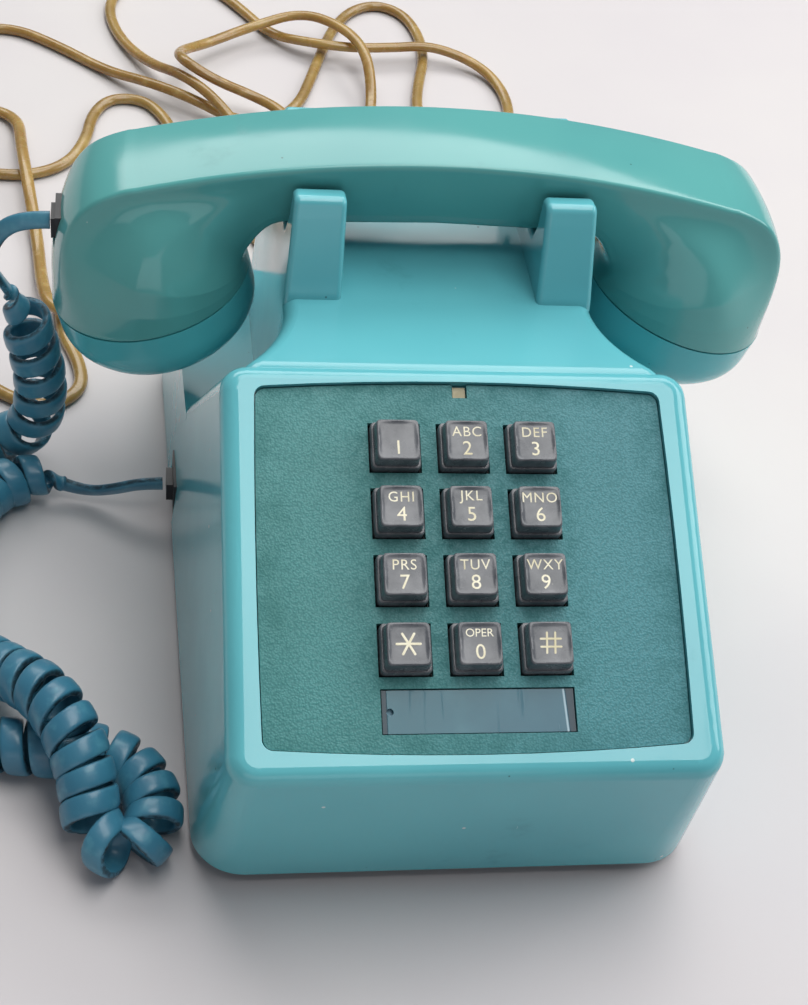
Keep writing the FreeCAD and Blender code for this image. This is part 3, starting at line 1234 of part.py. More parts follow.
lineRoute += [(-151, 182, 5), (-151, 206, 8), (-151, 228, 8), (-151, 246, 3), (-138, 254, floorRest),
              (-125, 246, 3), (-123, 222, 8), (-119, 194, 8), (-115, 168, floorRest), (-113, 144, 5),
              (-110, 126, 8), (-98, 119, 8), (-80, 123, floorRest), (-58, 134, floorRest), (-38, 146, 9.5),
              (-20, 149, 9.5), (-6, 145, 5.5), (5, 140.3, 4)]
subPart("line_cord", solid(cordTube("line_cord", lineRoute, size.lineCord)))


def hankTurn(radius):
    return Part.makeCylinder(radius, size.hankHigh, Vector(size.hankX, size.hankY, 0.1))


bundle = hankTurn(size.hankRadius + size.hankWide / 2).cut(hankTurn(size.hankRadius - size.hankWide / 2))
subPart("line_cord_coil", solid(bundle))
hankOuter = "(hankRadius + hankWide / 2)"
plugCorner = "(%s - lineCord / 2 - plugWide / 2)" % hankOuter
plugX = "hankX + sqrt(%s^2 - %s^2) - 0.5 + plugLong / 2" % (hankOuter, plugCorner)
plugY = "hankY - %s + lineCord / 2" % hankOuter
subPart("wall_plug", box("plugLong", "plugWide", "plugHigh", plugX, plugY, 0.1))

grommetSeat = "(footRear + %.4f)" % rearBulge
throatLong = "wall + baseGap + 2.2 + %.4f" % rearBulge
throatStart = "footRear - wall - baseGap + 0.3"
throat = rod("outletRadius - 0.2", throatLong, "grommetX", throatStart, "grommetZ", "Y")
flange = rod("outletRadius + outletRim", 1.5, "grommetX", grommetSeat + " + 0.1", "grommetZ", "Y")
sleeve = rod("outletRadius - 1.5", 2.4, "grommetX", grommetSeat + " + 1.6", "grommetZ", "Y")
subPart("line_cord_grommet", fuse(throat, flange, sleeve))


# Every feature is checked before anything is written.

doc.recompute()
for thing in doc.Objects:
    if "Invalid" in thing.State or "Error" in thing.State:
        raise RuntimeError("%s (%s) did not build: %s" % (thing.Name, thing.Label, thing.State))
for thing in subParts:
    if thing.Shape.isNull() or not thing.Shape.isValid():
        raise RuntimeError("%s has no sound shape" % thing.Label)

os.makedirs("parts", exist_ok=True)
for thing in subParts:
    thing.Shape.exportStep("parts/%s.step" % thing.Label)
print("%d sub-parts written" % len(subParts))
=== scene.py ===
import math

import bpy
import numpy as np
from mathutils import Matrix, Vector


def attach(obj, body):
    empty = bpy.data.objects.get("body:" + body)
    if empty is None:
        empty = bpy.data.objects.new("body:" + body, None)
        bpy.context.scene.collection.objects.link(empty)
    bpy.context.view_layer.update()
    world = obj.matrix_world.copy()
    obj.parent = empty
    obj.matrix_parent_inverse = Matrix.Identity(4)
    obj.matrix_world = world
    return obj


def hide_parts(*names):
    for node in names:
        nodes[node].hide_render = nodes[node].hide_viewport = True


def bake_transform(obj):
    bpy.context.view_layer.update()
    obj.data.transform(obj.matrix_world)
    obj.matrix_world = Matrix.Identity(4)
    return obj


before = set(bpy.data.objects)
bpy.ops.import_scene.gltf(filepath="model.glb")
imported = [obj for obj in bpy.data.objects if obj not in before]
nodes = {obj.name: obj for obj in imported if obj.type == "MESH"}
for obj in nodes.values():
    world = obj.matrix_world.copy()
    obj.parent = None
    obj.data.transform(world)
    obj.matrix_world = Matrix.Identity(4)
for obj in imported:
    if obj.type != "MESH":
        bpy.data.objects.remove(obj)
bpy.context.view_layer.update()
mm = 0.001


# Camera and cords

camera = {
    "place": (-86.7, -347.9, 394.5),
    "right": (0.9867, -0.1097, 0.1197),
    "down": (0.0057, -0.7135, -0.7007),
    "forward": (0.1623, 0.6921, -0.7034),
    "lens": 62.69,
    "sensor": 36,
    "near": 0.01,
}


def linked(name, data):
    thing = bpy.data.objects.new(name, data)
    bpy.context.scene.collection.objects.link(thing)
    return thing


def makeCamera():
    data = bpy.data.cameras.new("camera")
    data.lens = camera["lens"]
    data.sensor_width = camera["sensor"]
    data.clip_start = camera["near"]
    eye = linked("camera", data)
    down, back = -Vector(camera["down"]), -Vector(camera["forward"])
    turn = Matrix((Vector(camera["right"]), down, back)).transposed().to_quaternion()
    eye.matrix_world = Matrix.Translation(Vector(camera["place"]) * mm) @ turn.to_matrix().to_4x4()
    bpy.context.scene.camera = eye


makeCamera()
bpy.context.scene.view_settings.view_transform = "Standard"


def routePoints(points):
    # the places that the smooth line of a route passes, close together
    curve = bpy.data.curves.new("route", "CURVE")
    curve.dimensions = "3D"
    spline = curve.splines.new("NURBS")
    spline.points.add(len(points) - 1)
    spots = np.ones((len(points), 4))
    spots[:, :3] = np.array(points) * mm
    spline.points.foreach_set("co", spots.ravel())
    spline.order_u = 3
    spline.use_endpoint_u = True
    curve.resolution_u = 16
    holder = bpy.data.objects.new("route", curve)
    mesh = bpy.data.meshes.new_from_object(holder)
    spots = np.zeros(len(mesh.vertices) * 3)
    mesh.vertices.foreach_get("co", spots)
    bpy.data.objects.remove(holder)
    bpy.data.meshes.remove(mesh)
    return spots.reshape(-1, 3)


def unit(vectors):
    return vectors / np.linalg.norm(vectors, axis=-1, keepdims=True)


def gridFaces(rows, columns):
    # four corners of each cell, and the row and column of each corner for the UV map
    row, column = np.meshgrid(np.arange(rows - 1), np.arange(columns), indexing="ij")
    corners = [(row, column), (row, column + 1), (row + 1, column + 1), (row + 1, column)]
    faces = np.stack([r * columns + c % columns for r, c in corners], -1).reshape(-1, 4)
    cells = np.stack([np.stack([r, c], -1) for r, c in corners], -2).reshape(-1, 4, 2)
    return faces, cells


def signedVolume(vertices, faces):
    # a sixth of the sum of every triangle's triple product: above 0 where the faces point outwards
    a, b, c = (vertices[faces[:, k]] for k in range(3))
    return np.einsum("ij,ij->i", a, np.cross(b, c)).sum() / 6


def loft(rings):
    # rings of points, each joined to the next, with a fan over the first and the last ring, all facing out
    rings = np.asarray(rings, float)
    rows, columns = rings.shape[:2]
    faces, cells = gridFaces(rows, columns)
    first, last = np.arange(columns), np.arange(columns) + (rows - 1) * columns
    low, top = rows * columns, rows * columns + 1
    vertices = np.vstack([rings.reshape(-1, 3), rings[0].mean(0), rings[-1].mean(0)])
    fanLow = np.stack([np.full(columns, low), np.roll(first, -1), first], -1)
    fanTop = np.stack([np.full(columns, top), last, np.roll(last, -1)], -1)
    triangles = np.vstack([fanLow, fanTop])
    halves = np.vstack([faces[:, [0, 1, 2]], faces[:, [0, 2, 3]], triangles])
    if signedVolume(vertices - vertices.mean(0), halves) < 0:
        faces, cells, triangles = faces[:, ::-1], cells[:, ::-1], triangles[:, ::-1]
    return vertices, faces.tolist() + triangles.tolist(), cells


def joined(shapes):
    # several shapes as one: their points in a row, and their faces counted on
    vertices, faces, start = [], [], 0
    for shape in shapes:
        vertices.append(shape[0])
        faces += [[index + start for index in face] for face in shape[1]]
        start += len(shape[0])
    return np.vstack(vertices), faces


def newPiece(name, vertices, faces, sharp=35):
    mesh = bpy.data.meshes.new(name)
    mesh.from_pydata(np.asarray(vertices).tolist(), [], faces)
    mesh.shade_smooth()
    mesh.set_sharp_from_angle(angle=math.radians(sharp))
    mesh.validate()
    return linked(name, mesh)


def smoothstep(low, high, x):
    # 0 below low, 1 above high, and between them 3 t squared less 2 t cubed
    t = np.clip((x - low) / (high - low), 0, 1)
    return t * t * (3 - 2 * t)


handsetLead = [(-105.1, 51, 99), (-113, 51, 99), (-120, 52, 93), (-123, 53.5, 83), (-119, 54, 74),
               (-114, 54, 66)]
coilRest = 8.2
coilRoute = [(-111, 54.5, 51), (-109, 55.5, 35), (-111, 57, 18), (-120, 59, coilRest),
             (-134, 58, coilRest), (-146, 49, coilRest), (-151, 32, coilRest), (-152, 8, coilRest),
             (-151, -18, coilRest), (-146, -42, coilRest), (-134, -55, coilRest), (-119, -59, coilRest),
             (-104, -61, coilRest), (-91, -62, coilRest), (-81, -68, coilRest), (-76, -79, coilRest),
             (-77.5, -90, coilRest), (-85.5, -94.5, coilRest), (-92.5, -88.5, 10.5), (-93.5, -78, 17.5),
             (-97.5, -67, 24), (-105, -54, 24.5), (-117, -41, 18), (-128, -28, 10.5),
             (-132, -8, coilRest), (-132, 14, coilRest), (-128, 32, coilRest), (-119, 41, coilRest),
             (-108, 42, coilRest)]
baseLead = [(-101, 41, 5.5), (-94, 39.5, 5), (-87, 37, 8.5), (-79, 35, 13), (-71.67, 35, 13)]

curlyCord = {
    "radius": 6.55,  # middle of the band from the middle of the coil
    "pitch": 6.9,  # turn to turn where the coil lies packed
    "hangingPitch": 9.0,  # where its weight pulls it open
    "hanging": (-5, 5, 48, 75),  # past the lead: where the pull sets in, is full, fades and is gone
    "waver": ((0.35, 19, 0), (0.25, 7.3, 1)),  # unevenness of the pitch: size, length, start
    "spread": 0.55,  # how far a bend opens the turns
    "gentlest": 0.012,  # bends gentler than this open nothing
    "sharpest": 0.1,  # and a bend this much above it opens no more
    "window": 201,  # steps that the bend is evened out over
    "wide": 6.2,
    "thick": 2.7,
    "leadWide": 4.9,
    "leadThick": 2.5,
    "leadLong": 46,
    "tailLong": 39,
    "swell": (-7, 8),  # before and past the lead's end: where the turns grow to their radius
    "shrink": (-8, 6),  # the same where the tail begins
    "stepsPerTurn": 30,
    "around": 18,
    "step": 0.05,  # fine steps along the route
    "side": (-0.5, 0.5, 0.7),  # the direction that turns are counted from
    "wobble": (0.02, 11),  # unevenness of the radius: share and length
    "dome": 0.6, "base": 0.45, "sides": 0.62,  # powers that make the section a flat D
    "floorGap": 0.1,
    "sharp": 60,
}


def curlyBand():
    # The middle line is the route plus a circle that turns with the length gone, and its radius grows
    # from nothing at each straight end. The section is a flat D whose dome faces away from the route.
    size = curlyCord
    step, lead = size["step"], size["leadLong"]
    spots = routePoints(handsetLead + coilRoute + baseLead) / mm
    gone = np.append(0, np.cumsum(np.linalg.norm(np.diff(spots, axis=0), axis=1)))
    tail = gone[-1] - size["tailLong"]
    fine = np.arange(0, gone[-1], step)
    line = np.stack([np.interp(fine, gone, spots[:, k]) for k in range(3)], -1)
    along = unit(np.gradient(line, step, axis=0))
    bend = np.linalg.norm(np.gradient(along, step, axis=0), axis=1)
    window = np.hanning(size["window"])
    bend = np.convolve(np.pad(bend, len(window) // 2, "edge"), window / window.sum(), "valid")
    coiled = smoothstep(lead + size["swell"][0], lead + size["swell"][1], fine)
    coiled *= 1 - smoothstep(tail + size["shrink"][0], tail + size["shrink"][1], fine)
    pulled, full, fading, packed = (lead + way for way in size["hanging"])
    hanging = smoothstep(pulled, full, fine) * (1 - smoothstep(fading, packed, fine))
    pitch = size["pitch"] + (size["hangingPitch"] - size["pitch"]) * hanging
    pitch = pitch + sum(much * np.sin(fine / long + start) for much, long, start in size["waver"])
    opening = np.clip(bend - size["gentlest"], 0, size["sharpest"])
    pitch = pitch * (1 + size["spread"] * size["radius"] * opening)
    turns = np.cumsum(np.where(coiled > 0, 1 / pitch, 0)) * step
    progress = np.cumsum(np.where(coiled > 0, size["stepsPerTurn"] / pitch, 1.0)) * step
    place = np.interp(np.arange(0, progress[-1]), progress, fine)
    pick = lambda values: np.interp(place, fine, values)
    pickAll = lambda rows: np.stack([pick(rows[:, k]) for k in range(3)], -1)
    centre, forward = pickAll(line), unit(pickAll(along))
    phase, grown = 2 * np.pi * pick(turns), pick(coiled)
    side = unit(np.cross(size["side"], forward))
    other = np.cross(forward, side)
    much, long = size["wobble"]
    radius = size["radius"] * grown * (1 + much * np.sin(place / long))
    out = np.cos(phase)[:, None] * side + np.sin(phase)[:, None] * other
    middle = centre + radius[:, None] * out
    middle[0], middle[-1] = centre[0], centre[-1]
    ahead = unit(np.gradient(middle, axis=0))
    out = unit(out - (out * ahead).sum(1, keepdims=True) * ahead)
    across = np.cross(ahead, out)
    turn = np.arange(size["around"]) * 2 * np.pi / size["around"]
    wide = (size["leadWide"] + (size["wide"] - size["leadWide"]) * grown)[:, None] / 2
    thick = (size["leadThick"] + (size["thick"] - size["leadThick"]) * grown)[:, None]
    # powers below 1 of the sine and cosine push a circle out towards a box, the base more than the dome
    sine, cosine = np.sin(turn), np.cos(turn)
    shareOut = 0.5 * np.where(sine > 0, np.abs(sine) ** size["dome"], -np.abs(sine) ** size["base"])
    shareAcross = np.sign(cosine) * np.abs(cosine) ** size["sides"]
    rings = middle[:, None] + (thick * shareOut)[..., None] * out[:, None]
    rings = rings + (wide * shareAcross)[..., None] * across[:, None]
    lowest = rings[..., 2].min(axis=1)
    rings[..., 2] += np.clip(size["floorGap"] - lowest, 0, 1)[:, None]
    return middle * mm, rings * mm


def addBandMap(mesh, cells, lengths, around):
    # UV map: metres along the band, and the way round its section from 0 to 1
    layer = mesh.uv_layers.new(name="band")
    values = np.zeros((len(mesh.loops), 2))
    flat = cells.reshape(-1, 2)
    values[:len(flat), 0] = lengths[flat[:, 0]]
    values[:len(flat), 1] = flat[:, 1] / around
    layer.data.foreach_set("uv", values.ravel())


def makeHandsetCord():
    middle, rings = curlyBand()
    vertices, faces, cells = loft(rings)
    cord = newPiece("handset_cord", vertices, faces, curlyCord["sharp"])
    lengths = np.append(0, np.cumsum(np.linalg.norm(np.diff(middle, axis=0), axis=1)))
    addBandMap(cord.data, cells, lengths, rings.shape[1])
    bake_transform(cord)
    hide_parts("handset_cord_lead", "handset_cord_coil", "handset_cord_tail")
    print("handset cord: %.2f m of band" % lengths[-1])
    return cord


handsetCord = makeHandsetCord()

lineCord = {
    "diameter": 4.6,
    "thick": 3.8,
    "around": 16,
    "coilMiddle": (35, 160),
    "coilStart": 213,  # degrees
    "layerRise": 4,
    "layers": [[31.9, 27.3, 22.7, 18.1], [20.4, 25, 29.6], [31.9, 27.3, 22.7, 18.1], [20.4, 25, 29.6]],
    "pointsPerTurn": 16,
    "inside": 0.981,  # the smooth line runs inside its points by this share
    "length": 4.27,
    "sharp": 60,
}
floorRest = 2.35
lineRoute = [(-22, 113.5, 14), (-22, 126, 11), (-24, 141, 4.5)]
lineRoute += [(x, y, floorRest) for x, y in (
    (-31, 163), (-42, 188), (-54, 214), (-64, 236), (-69, 253), (-77, 264), (-90, 264), (-97, 252),
    (-99, 234), (-106, 217), (-120, 209), (-138, 210), (-154, 220), (-164, 240), (-166, 266), (-160, 292),
    (-148, 310), (-130, 314), (-111, 301), (-92, 284))]
lineRoute += [(-74, 268, 7.8), (-58, 258, 7.8)]
lineRoute += [(x, y, floorRest) for x, y in (
    (-40, 251), (-24, 253), (-14, 266), (-8, 285), (-2, 306), (5, 327), (14, 342), (26, 348), (37, 341),
    (42, 324), (42, 304), (37, 284), (34, 264), (38, 247), (50, 238), (64, 243), (72, 257), (74, 275))]
lineRoute += [(70, 292, 3), (60, 302, 5), (44, 306, 8), (28, 303, 8), (10, 301, 8), (-8, 304, 8)]
lineRoute += [(x, y, floorRest) for x, y in (
    (-23, 318), (-36, 341), (-48, 357), (-66, 364), (-84, 356), (-92, 335), (-87, 310))]
lineRoute += [(-75, 287, 5), (-62, 268, 12.5), (-50, 253, 12.5), (-37, 238, 4), (-18, 228, floorRest),
              (0, 233, floorRest), (12, 248, floorRest), (16, 269, 5), (15, 290, 13), (7, 308, 13.5),
              (-10, 320, 13), (-32, 314, 8), (-51, 299, 8), (-63, 284, 13), (-62, 269, 18.5), (-49, 262, 14),
              (-33, 261, 8), (-22, 251, 8), (-17, 235, 8), (-22, 218, 8), (-36, 203, 8), (-54, 195, 8)]
lineRoute += [(x, y, floorRest) for x, y in (
    (-76, 186), (-96, 170), (-106, 146), (-106, 121), (-99, 103), (-98, 90), (-107, 81), (-120, 84),
    (-134, 97), (-146, 118), (-150, 148))]
lineRoute += [(-151, 182, 5), (-151, 206, 8), (-151, 228, 8), (-151, 246, 3), (-138, 254, floorRest),
              (-125, 246, 3), (-123, 222, 8), (-119, 194, 8), (-115, 168, floorRest), (-113, 144, 5),
              (-110, 126, 8), (-98, 119, 8), (-80, 123, floorRest), (-58, 134, floorRest), (-38, 146, 9.5),
              (-20, 149, 9.5), (-6, 146.5, 5)]


def coilTurns():
    # points on circles round the middle; in the last two fifths of its way each turn slides over to
    # the next one's radius and height
    size = lineCord
    plan = [(radius, floorRest + size["layerRise"] * k) for k, layer in enumerate(size["layers"])
            for radius in layer]
    count = size["pointsPerTurn"]
    share = np.arange(count) / count
    slide = smoothstep(0.6, 1, share)
    angle = math.radians(size["coilStart"]) + 2 * np.pi * share
    spots = []
    for (radius, height), (nextRadius, nextHeight) in zip(plan, plan[1:] + plan[-1:]):
        around = (radius + (nextRadius - radius) * slide) / size["inside"]
        spots.append(np.stack([size["coilMiddle"][0] + around * np.cos(angle),
                               size["coilMiddle"][1] + around * np.sin(angle),
                               height + (nextHeight - height) * slide], -1))
    return [tuple(spot) for spot in np.vstack(spots)]


coilExit = [(12.5, 139.5, 14.3), (24, 131, 12.4), (35.5, 127.8, 8.6), (45, 127.4, 5.4), (54.2, 127.8, 3.5)]


def makeLineCord():
    # an oval section, wide side down, carried along the route's smooth line, as low as a round one
    size = lineCord
    path = routePoints(lineRoute + coilTurns() + coilExit)
    path = path[np.append(True, np.linalg.norm(np.diff(path, axis=0), axis=1) > 1e-6)]
    ahead = unit(np.gradient(path, axis=0))
    side = unit(np.cross((0, 0, 1), ahead))
    rise = np.cross(ahead, side)
    turn = np.arange(size["around"]) * 2 * np.pi / size["around"]
    wide, tall = size["diameter"] / 2 * mm * np.cos(turn), size["thick"] / 2 * mm * np.sin(turn)
    drop = (size["diameter"] - size["thick"]) / 2 * mm
    rings = path[:, None] + wide[:, None] * side[:, None] + (tall[:, None] - drop) * rise[:, None]
    vertices, faces = loft(rings)[:2]
    cord = newPiece("line_cord_length", vertices, faces, size["sharp"])
    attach(cord, "base")
    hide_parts("line_cord", "line_cord_coil")
    return cord


lineCordPiece = makeLineCord()
print("cords laid")


# Materials


class Signal:
    # one socket of a material's nodes, so that shader maths reads as Python
    def __init__(self, tree, socket):
        self.tree, self.socket = tree, socket

    def make(self, kind, settings=None, values=None, output=0):
        node = self.tree.nodes.new(kind)
        for name, setting in (settings or {}).items():
            setattr(node, name, setting)
        for key, given in (values or {}).items():
            if isinstance(given, Signal):
                self.tree.links.new(given.socket, node.inputs[key])
            else:
                node.inputs[key].default_value = given
        return Signal(self.tree, node.outputs[output])

    def maths(self, operation, first, second=0.0):
        return self.make("ShaderNodeMath", {"operation": operation}, {0: first, 1: second})

    def __add__(self, other):
        return self.maths("ADD", self, other)

    def __mul__(self, other):
        return self.maths("MULTIPLY", self, other)

    def __sub__(self, other):
        return self.maths("SUBTRACT", self, other)

    def __rsub__(self, other):
        return self.maths("SUBTRACT", other, self)

    __radd__ = __add__
    __rmul__ = __mul__

    def absolute(self):
        return self.maths("ABSOLUTE", self)

    def most(self, other):
        return self.maths("MAXIMUM", self, other)

    def smooth(self, low, high):
        # 0 below low, 1 above high, smooth between
        values = {"Value": self, "From Min": low, "From Max": high}
        return self.make("ShaderNodeMapRange", {"interpolation_type": "SMOOTHSTEP"}, values)

    def scaled(self, x, y, z):
        return self.make("ShaderNodeVectorMath", {"operation": "MULTIPLY"}, {0: self, 1: (x, y, z)})

    def along(self, x, y, z):
        # how far the place lies along a direction
        return self.make("ShaderNodeVectorMath", {"operation": "DOT_PRODUCT"}, {0: self, 1: (x, y, z)}, 1)

    def noise(self, scale, detail=3.0, roughness=0.55):
        return self.make("ShaderNodeTexNoise", {}, {"Vector": self, "Scale": scale, "Detail": detail,
                                                    "Roughness": roughness})

    def cells(self, scale, feature="F1", output=0):
        sockets = {"Vector": self, "Scale": scale}
        return self.make("ShaderNodeTexVoronoi", {"feature": feature}, sockets, output)

    def bump(self, distance, strength=1.0):
        return self.make("ShaderNodeBump", {}, {"Height": self, "Distance": distance, "Strength": strength})


def tint(red, green, blue):
    # a colour as the eye reads it, 0 to 255, in the linear light that shaders use
    linear = [value / 255 / 12.92 if value <= 10 else ((value / 255 + 0.055) / 1.055) ** 2.4
              for value in (red, green, blue)]
    return (*linear, 1.0)


def mixed(share, first, second):
    # the first colour where the share is 0, the second where it is 1
    return share.make("ShaderNodeMix", {"data_type": "RGBA", "clamp_factor": True},
                      {0: share, 6: first, 7: second}, 2)


def speckMask(spot, scale, size, share):
    # round specks: close to a cell's own point, in a share of the cells
    distance, color = spot.cells(scale), spot.cells(scale, output=1)
    chosen = color.make("ShaderNodeSeparateColor", {}, {0: color}).smooth(1 - share - 0.002, 1 - share)
    return chosen * (1 - distance.smooth(size * 0.6, size))


def newMaterial(name, fixed=None):
    material = bpy.data.materials.new(name)
    material.use_nodes = True
    tree = material.node_tree
    shader = tree.nodes["Principled BSDF"]
    for socket, value in (fixed or {}).items():
        shader.inputs[socket].default_value = value
    spot = Signal(tree, tree.nodes.new("ShaderNodeTexCoord").outputs["Object"])
    return material, shader, spot


def feed(material, shader, **signals):
    # each signal drives the shader's socket of that name
    names = {"color": "Base Color", "roughness": "Roughness", "normal": "Normal"}
    for name, signal in signals.items():
        material.node_tree.links.new(signal.socket, shader.inputs[names[name]])
    return material


def glossyShell(name, light, deep, dirt):
    # moulded plastic: a slow drift of colour, a slight swell of the surface, hairline scratches, dust
    material, shader, spot = newMaterial(name, {"IOR": 1.5})
    drift = spot.noise(9, 3)
    color = mixed(drift.smooth(0.35, 0.7), light, deep)
    stain = spot.noise(35, 5, 0.65).smooth(0.62, 0.78) * 0.25
    color = mixed(stain, color, dirt)
    dust = speckMask(spot, 190, 0.11, 0.045)
    grit = speckMask(spot.scaled(1, 1, 1.02), 320, 0.13, 0.03)  # scaled to fall elsewhere
    color = mixed(dust * 0.7, color, tint(225, 230, 225))
    color = mixed(grit * 0.6, color, tint(40, 60, 62))
    hair = spot.scaled(900, 45, 60).noise(1, 2).smooth(0.66, 0.72)
    crossHair = spot.scaled(50, 800, 40).noise(1, 2).smooth(0.68, 0.74)
    scuffs = hair.most(crossHair) * spot.noise(14, 2).smooth(0.45, 0.7)
    roughness = 0.1 + spot.noise(22, 4).smooth(0.3, 0.8) * 0.12 + scuffs * 0.12 + stain * 0.5
    height = spot.noise(55, 2) * 0.6 + spot.noise(900, 2) * 0.02 - scuffs * 0.015 + dust * 0.3
    return feed(material, shader, color=color, roughness=roughness, normal=height.bump(0.00012, 0.6))


faceFrame = {
    "middle": (0, -56.3, 82.4),  # of the keys, on the face
    "slope": 25,
    # metres from the middle to where grime starts: at the plate's edges, and round the keys
    "grime": {"drop": 0.0042, "edgeUp": 0.037, "edgeAcross": 0.041, "padUp": 0.034, "padAcross": 0.0255},
}


def faceGrain(name):
    # a sprayed leather grain: small cells with raised middles, worn smoother by the keys, grimy at the edges
    material, shader, spot = newMaterial(name, {"IOR": 1.5})
    middle, slope = faceFrame["middle"], math.radians(faceFrame["slope"])
    across = spot.along(1, 0, 0)
    middleUp = (middle[1] * math.cos(slope) + middle[2] * math.sin(slope)) * mm
    up = spot.along(0, math.cos(slope), math.sin(slope)) - middleUp
    grain = spot.cells(1900, "SMOOTH_F1")
    fine = spot.noise(2600, 3, 0.6)
    wear = spot.noise(16, 4, 0.6)
    color = mixed(wear.smooth(0.3, 0.75), tint(52, 124, 122), tint(60, 136, 136))
    color = mixed((across + 0.05).smooth(0.0, 0.1) * 0.5, color, tint(52, 124, 142))
    sizes = faceFrame["grime"]
    edgeUp = ((up + sizes["drop"]).absolute() - sizes["edgeUp"]).smooth(0.0, 0.011)
    edgeAcross = (across.absolute() - sizes["edgeAcross"]).smooth(0.0, 0.012)
    edge = edgeUp.most(edgeAcross) * spot.noise(120, 4, 0.7).smooth(0.35, 0.65)
    pad = 1 - (across.absolute() - sizes["padAcross"]).smooth(0, 0.006)
    pad = pad * (1 - (up.absolute() - sizes["padUp"]).smooth(0, 0.006))
    grime = edge.most(pad * spot.noise(260, 5, 0.7).smooth(0.38, 0.7))
    color = mixed(grime * 0.32, color, tint(40, 82, 78))
    color = mixed(grain.smooth(0.28, 0.6) * 0.3, color, tint(30, 88, 90))
    dust = speckMask(spot, 120, 0.06, 0.025)
    color = mixed(dust, color, tint(205, 225, 220))
    roughness = 0.46 + grime * 0.2 - wear * 0.1 + grain.smooth(0.2, 0.6) * 0.14
    height = (1 - grain) * 0.7 + fine * 0.25 + dust * 0.5
    return feed(material, shader, color=color, roughness=roughness, normal=height.bump(0.0002, 0.9))


keyInk = {"cream": tint(240, 236, 214), "grey": tint(78, 82, 88), "worn": tint(104, 107, 112)}


def keyPlastic(name):
    # hard grey plastic with specks of lint, polished unevenly by fingers
    material, shader, spot = newMaterial(name, {"IOR": 1.5})
    color = mixed(spot.noise(180, 4).smooth(0.35, 0.7), keyInk["grey"], keyInk["worn"])
    lint = speckMask(spot, 420, 0.1, 0.05)
    color = mixed(lint * 0.6, color, tint(150, 150, 145))
    roughness = 0.2 + spot.noise(240, 4).smooth(0.3, 0.8) * 0.14
    height = spot.noise(700, 3) * 0.5 + spot.noise(3200, 2) * 0.25
    return feed(material, shader, color=color, roughness=roughness, normal=height.bump(0.00003, 0.6))


def mouldedPlastic(name, color, worn, roughness=0.4, grainScale=1400):
    # a fine even grain, faded in soft patches
    material, shader, spot = newMaterial(name, {"IOR": 1.48})
    shade = mixed(spot.noise(90, 4).smooth(0.35, 0.7), color, worn)
    height = spot.noise(grainScale, 2) * 0.5 + spot.noise(120, 2) * 0.5
    rough = roughness + spot.noise(200, 3) * 0.12
    return feed(material, shader, color=shade, roughness=rough, normal=height.bump(0.00005, 0.5))


def wornMetal(name, color, dark, roughness=0.3, brushed=(1, 1, 1)):
    # stained metal with fine lines, which lie across the axis that has the largest number in brushed
    material, shader, spot = newMaterial(name, {"Metallic": 1.0})
    stain = spot.noise(130, 5, 0.65)
    shade = mixed(stain.smooth(0.45, 0.75), color, dark)
    lines = spot.scaled(*brushed).noise(900, 3)
    rough = roughness + stain.smooth(0.4, 0.8) * 0.2 + lines * 0.1
    return feed(material, shader, color=shade, roughness=rough, normal=lines.bump(0.00002, 0.4))


def circuitBoard(name):
    # brown board with a faint weave
    material, shader, spot = newMaterial(name, {"IOR": 1.5})
    weave = spot.scaled(900, 120, 900).noise(1, 2).smooth(0.4, 0.6)
    color = mixed(weave * 0.3, tint(150, 120, 60), tint(110, 84, 40))
    color = mixed(spot.noise(60, 3).smooth(0.4, 0.7) * 0.5, color, tint(120, 98, 50))
    return feed(material, shader, color=color, roughness=0.45 + spot.noise(300, 2) * 0.15)


def windingWire(name):
    # turns of lacquered wire: ridges along the coil's own length, with painted shade in the grooves between
    # them and a painted highlight on their crests
    material, shader, spot = newMaterial(name, {"Metallic": 0.6, "Coat Weight": 0.5})
    ridges = spot.make("ShaderNodeTexWave", {"wave_type": "BANDS", "bands_direction": "X"},
                       {"Vector": spot, "Scale": 330.0, "Distortion": 0.6}, 1)
    # painted shade and highlight: the colour follows the ridges, dark in the grooves and pale on the crests
    color = mixed(ridges, tint(92, 40, 16), tint(168, 92, 44))
    return feed(material, shader, color=color, roughness=0.35 + spot.noise(200, 2) * 0.2,
                normal=ridges.bump(0.00012, 0.8))


def clearPlastic(name):
    # clear plastic, yellowed and hazy in patches
    material, shader, spot = newMaterial(name, {"IOR": 1.49, "Transmission Weight": 0.75})
    color = mixed(spot.noise(200, 3).smooth(0.4, 0.7), tint(214, 220, 214), tint(190, 190, 170))
    return feed(material, shader, color=color, roughness=0.12 + spot.noise(300, 3) * 0.15)


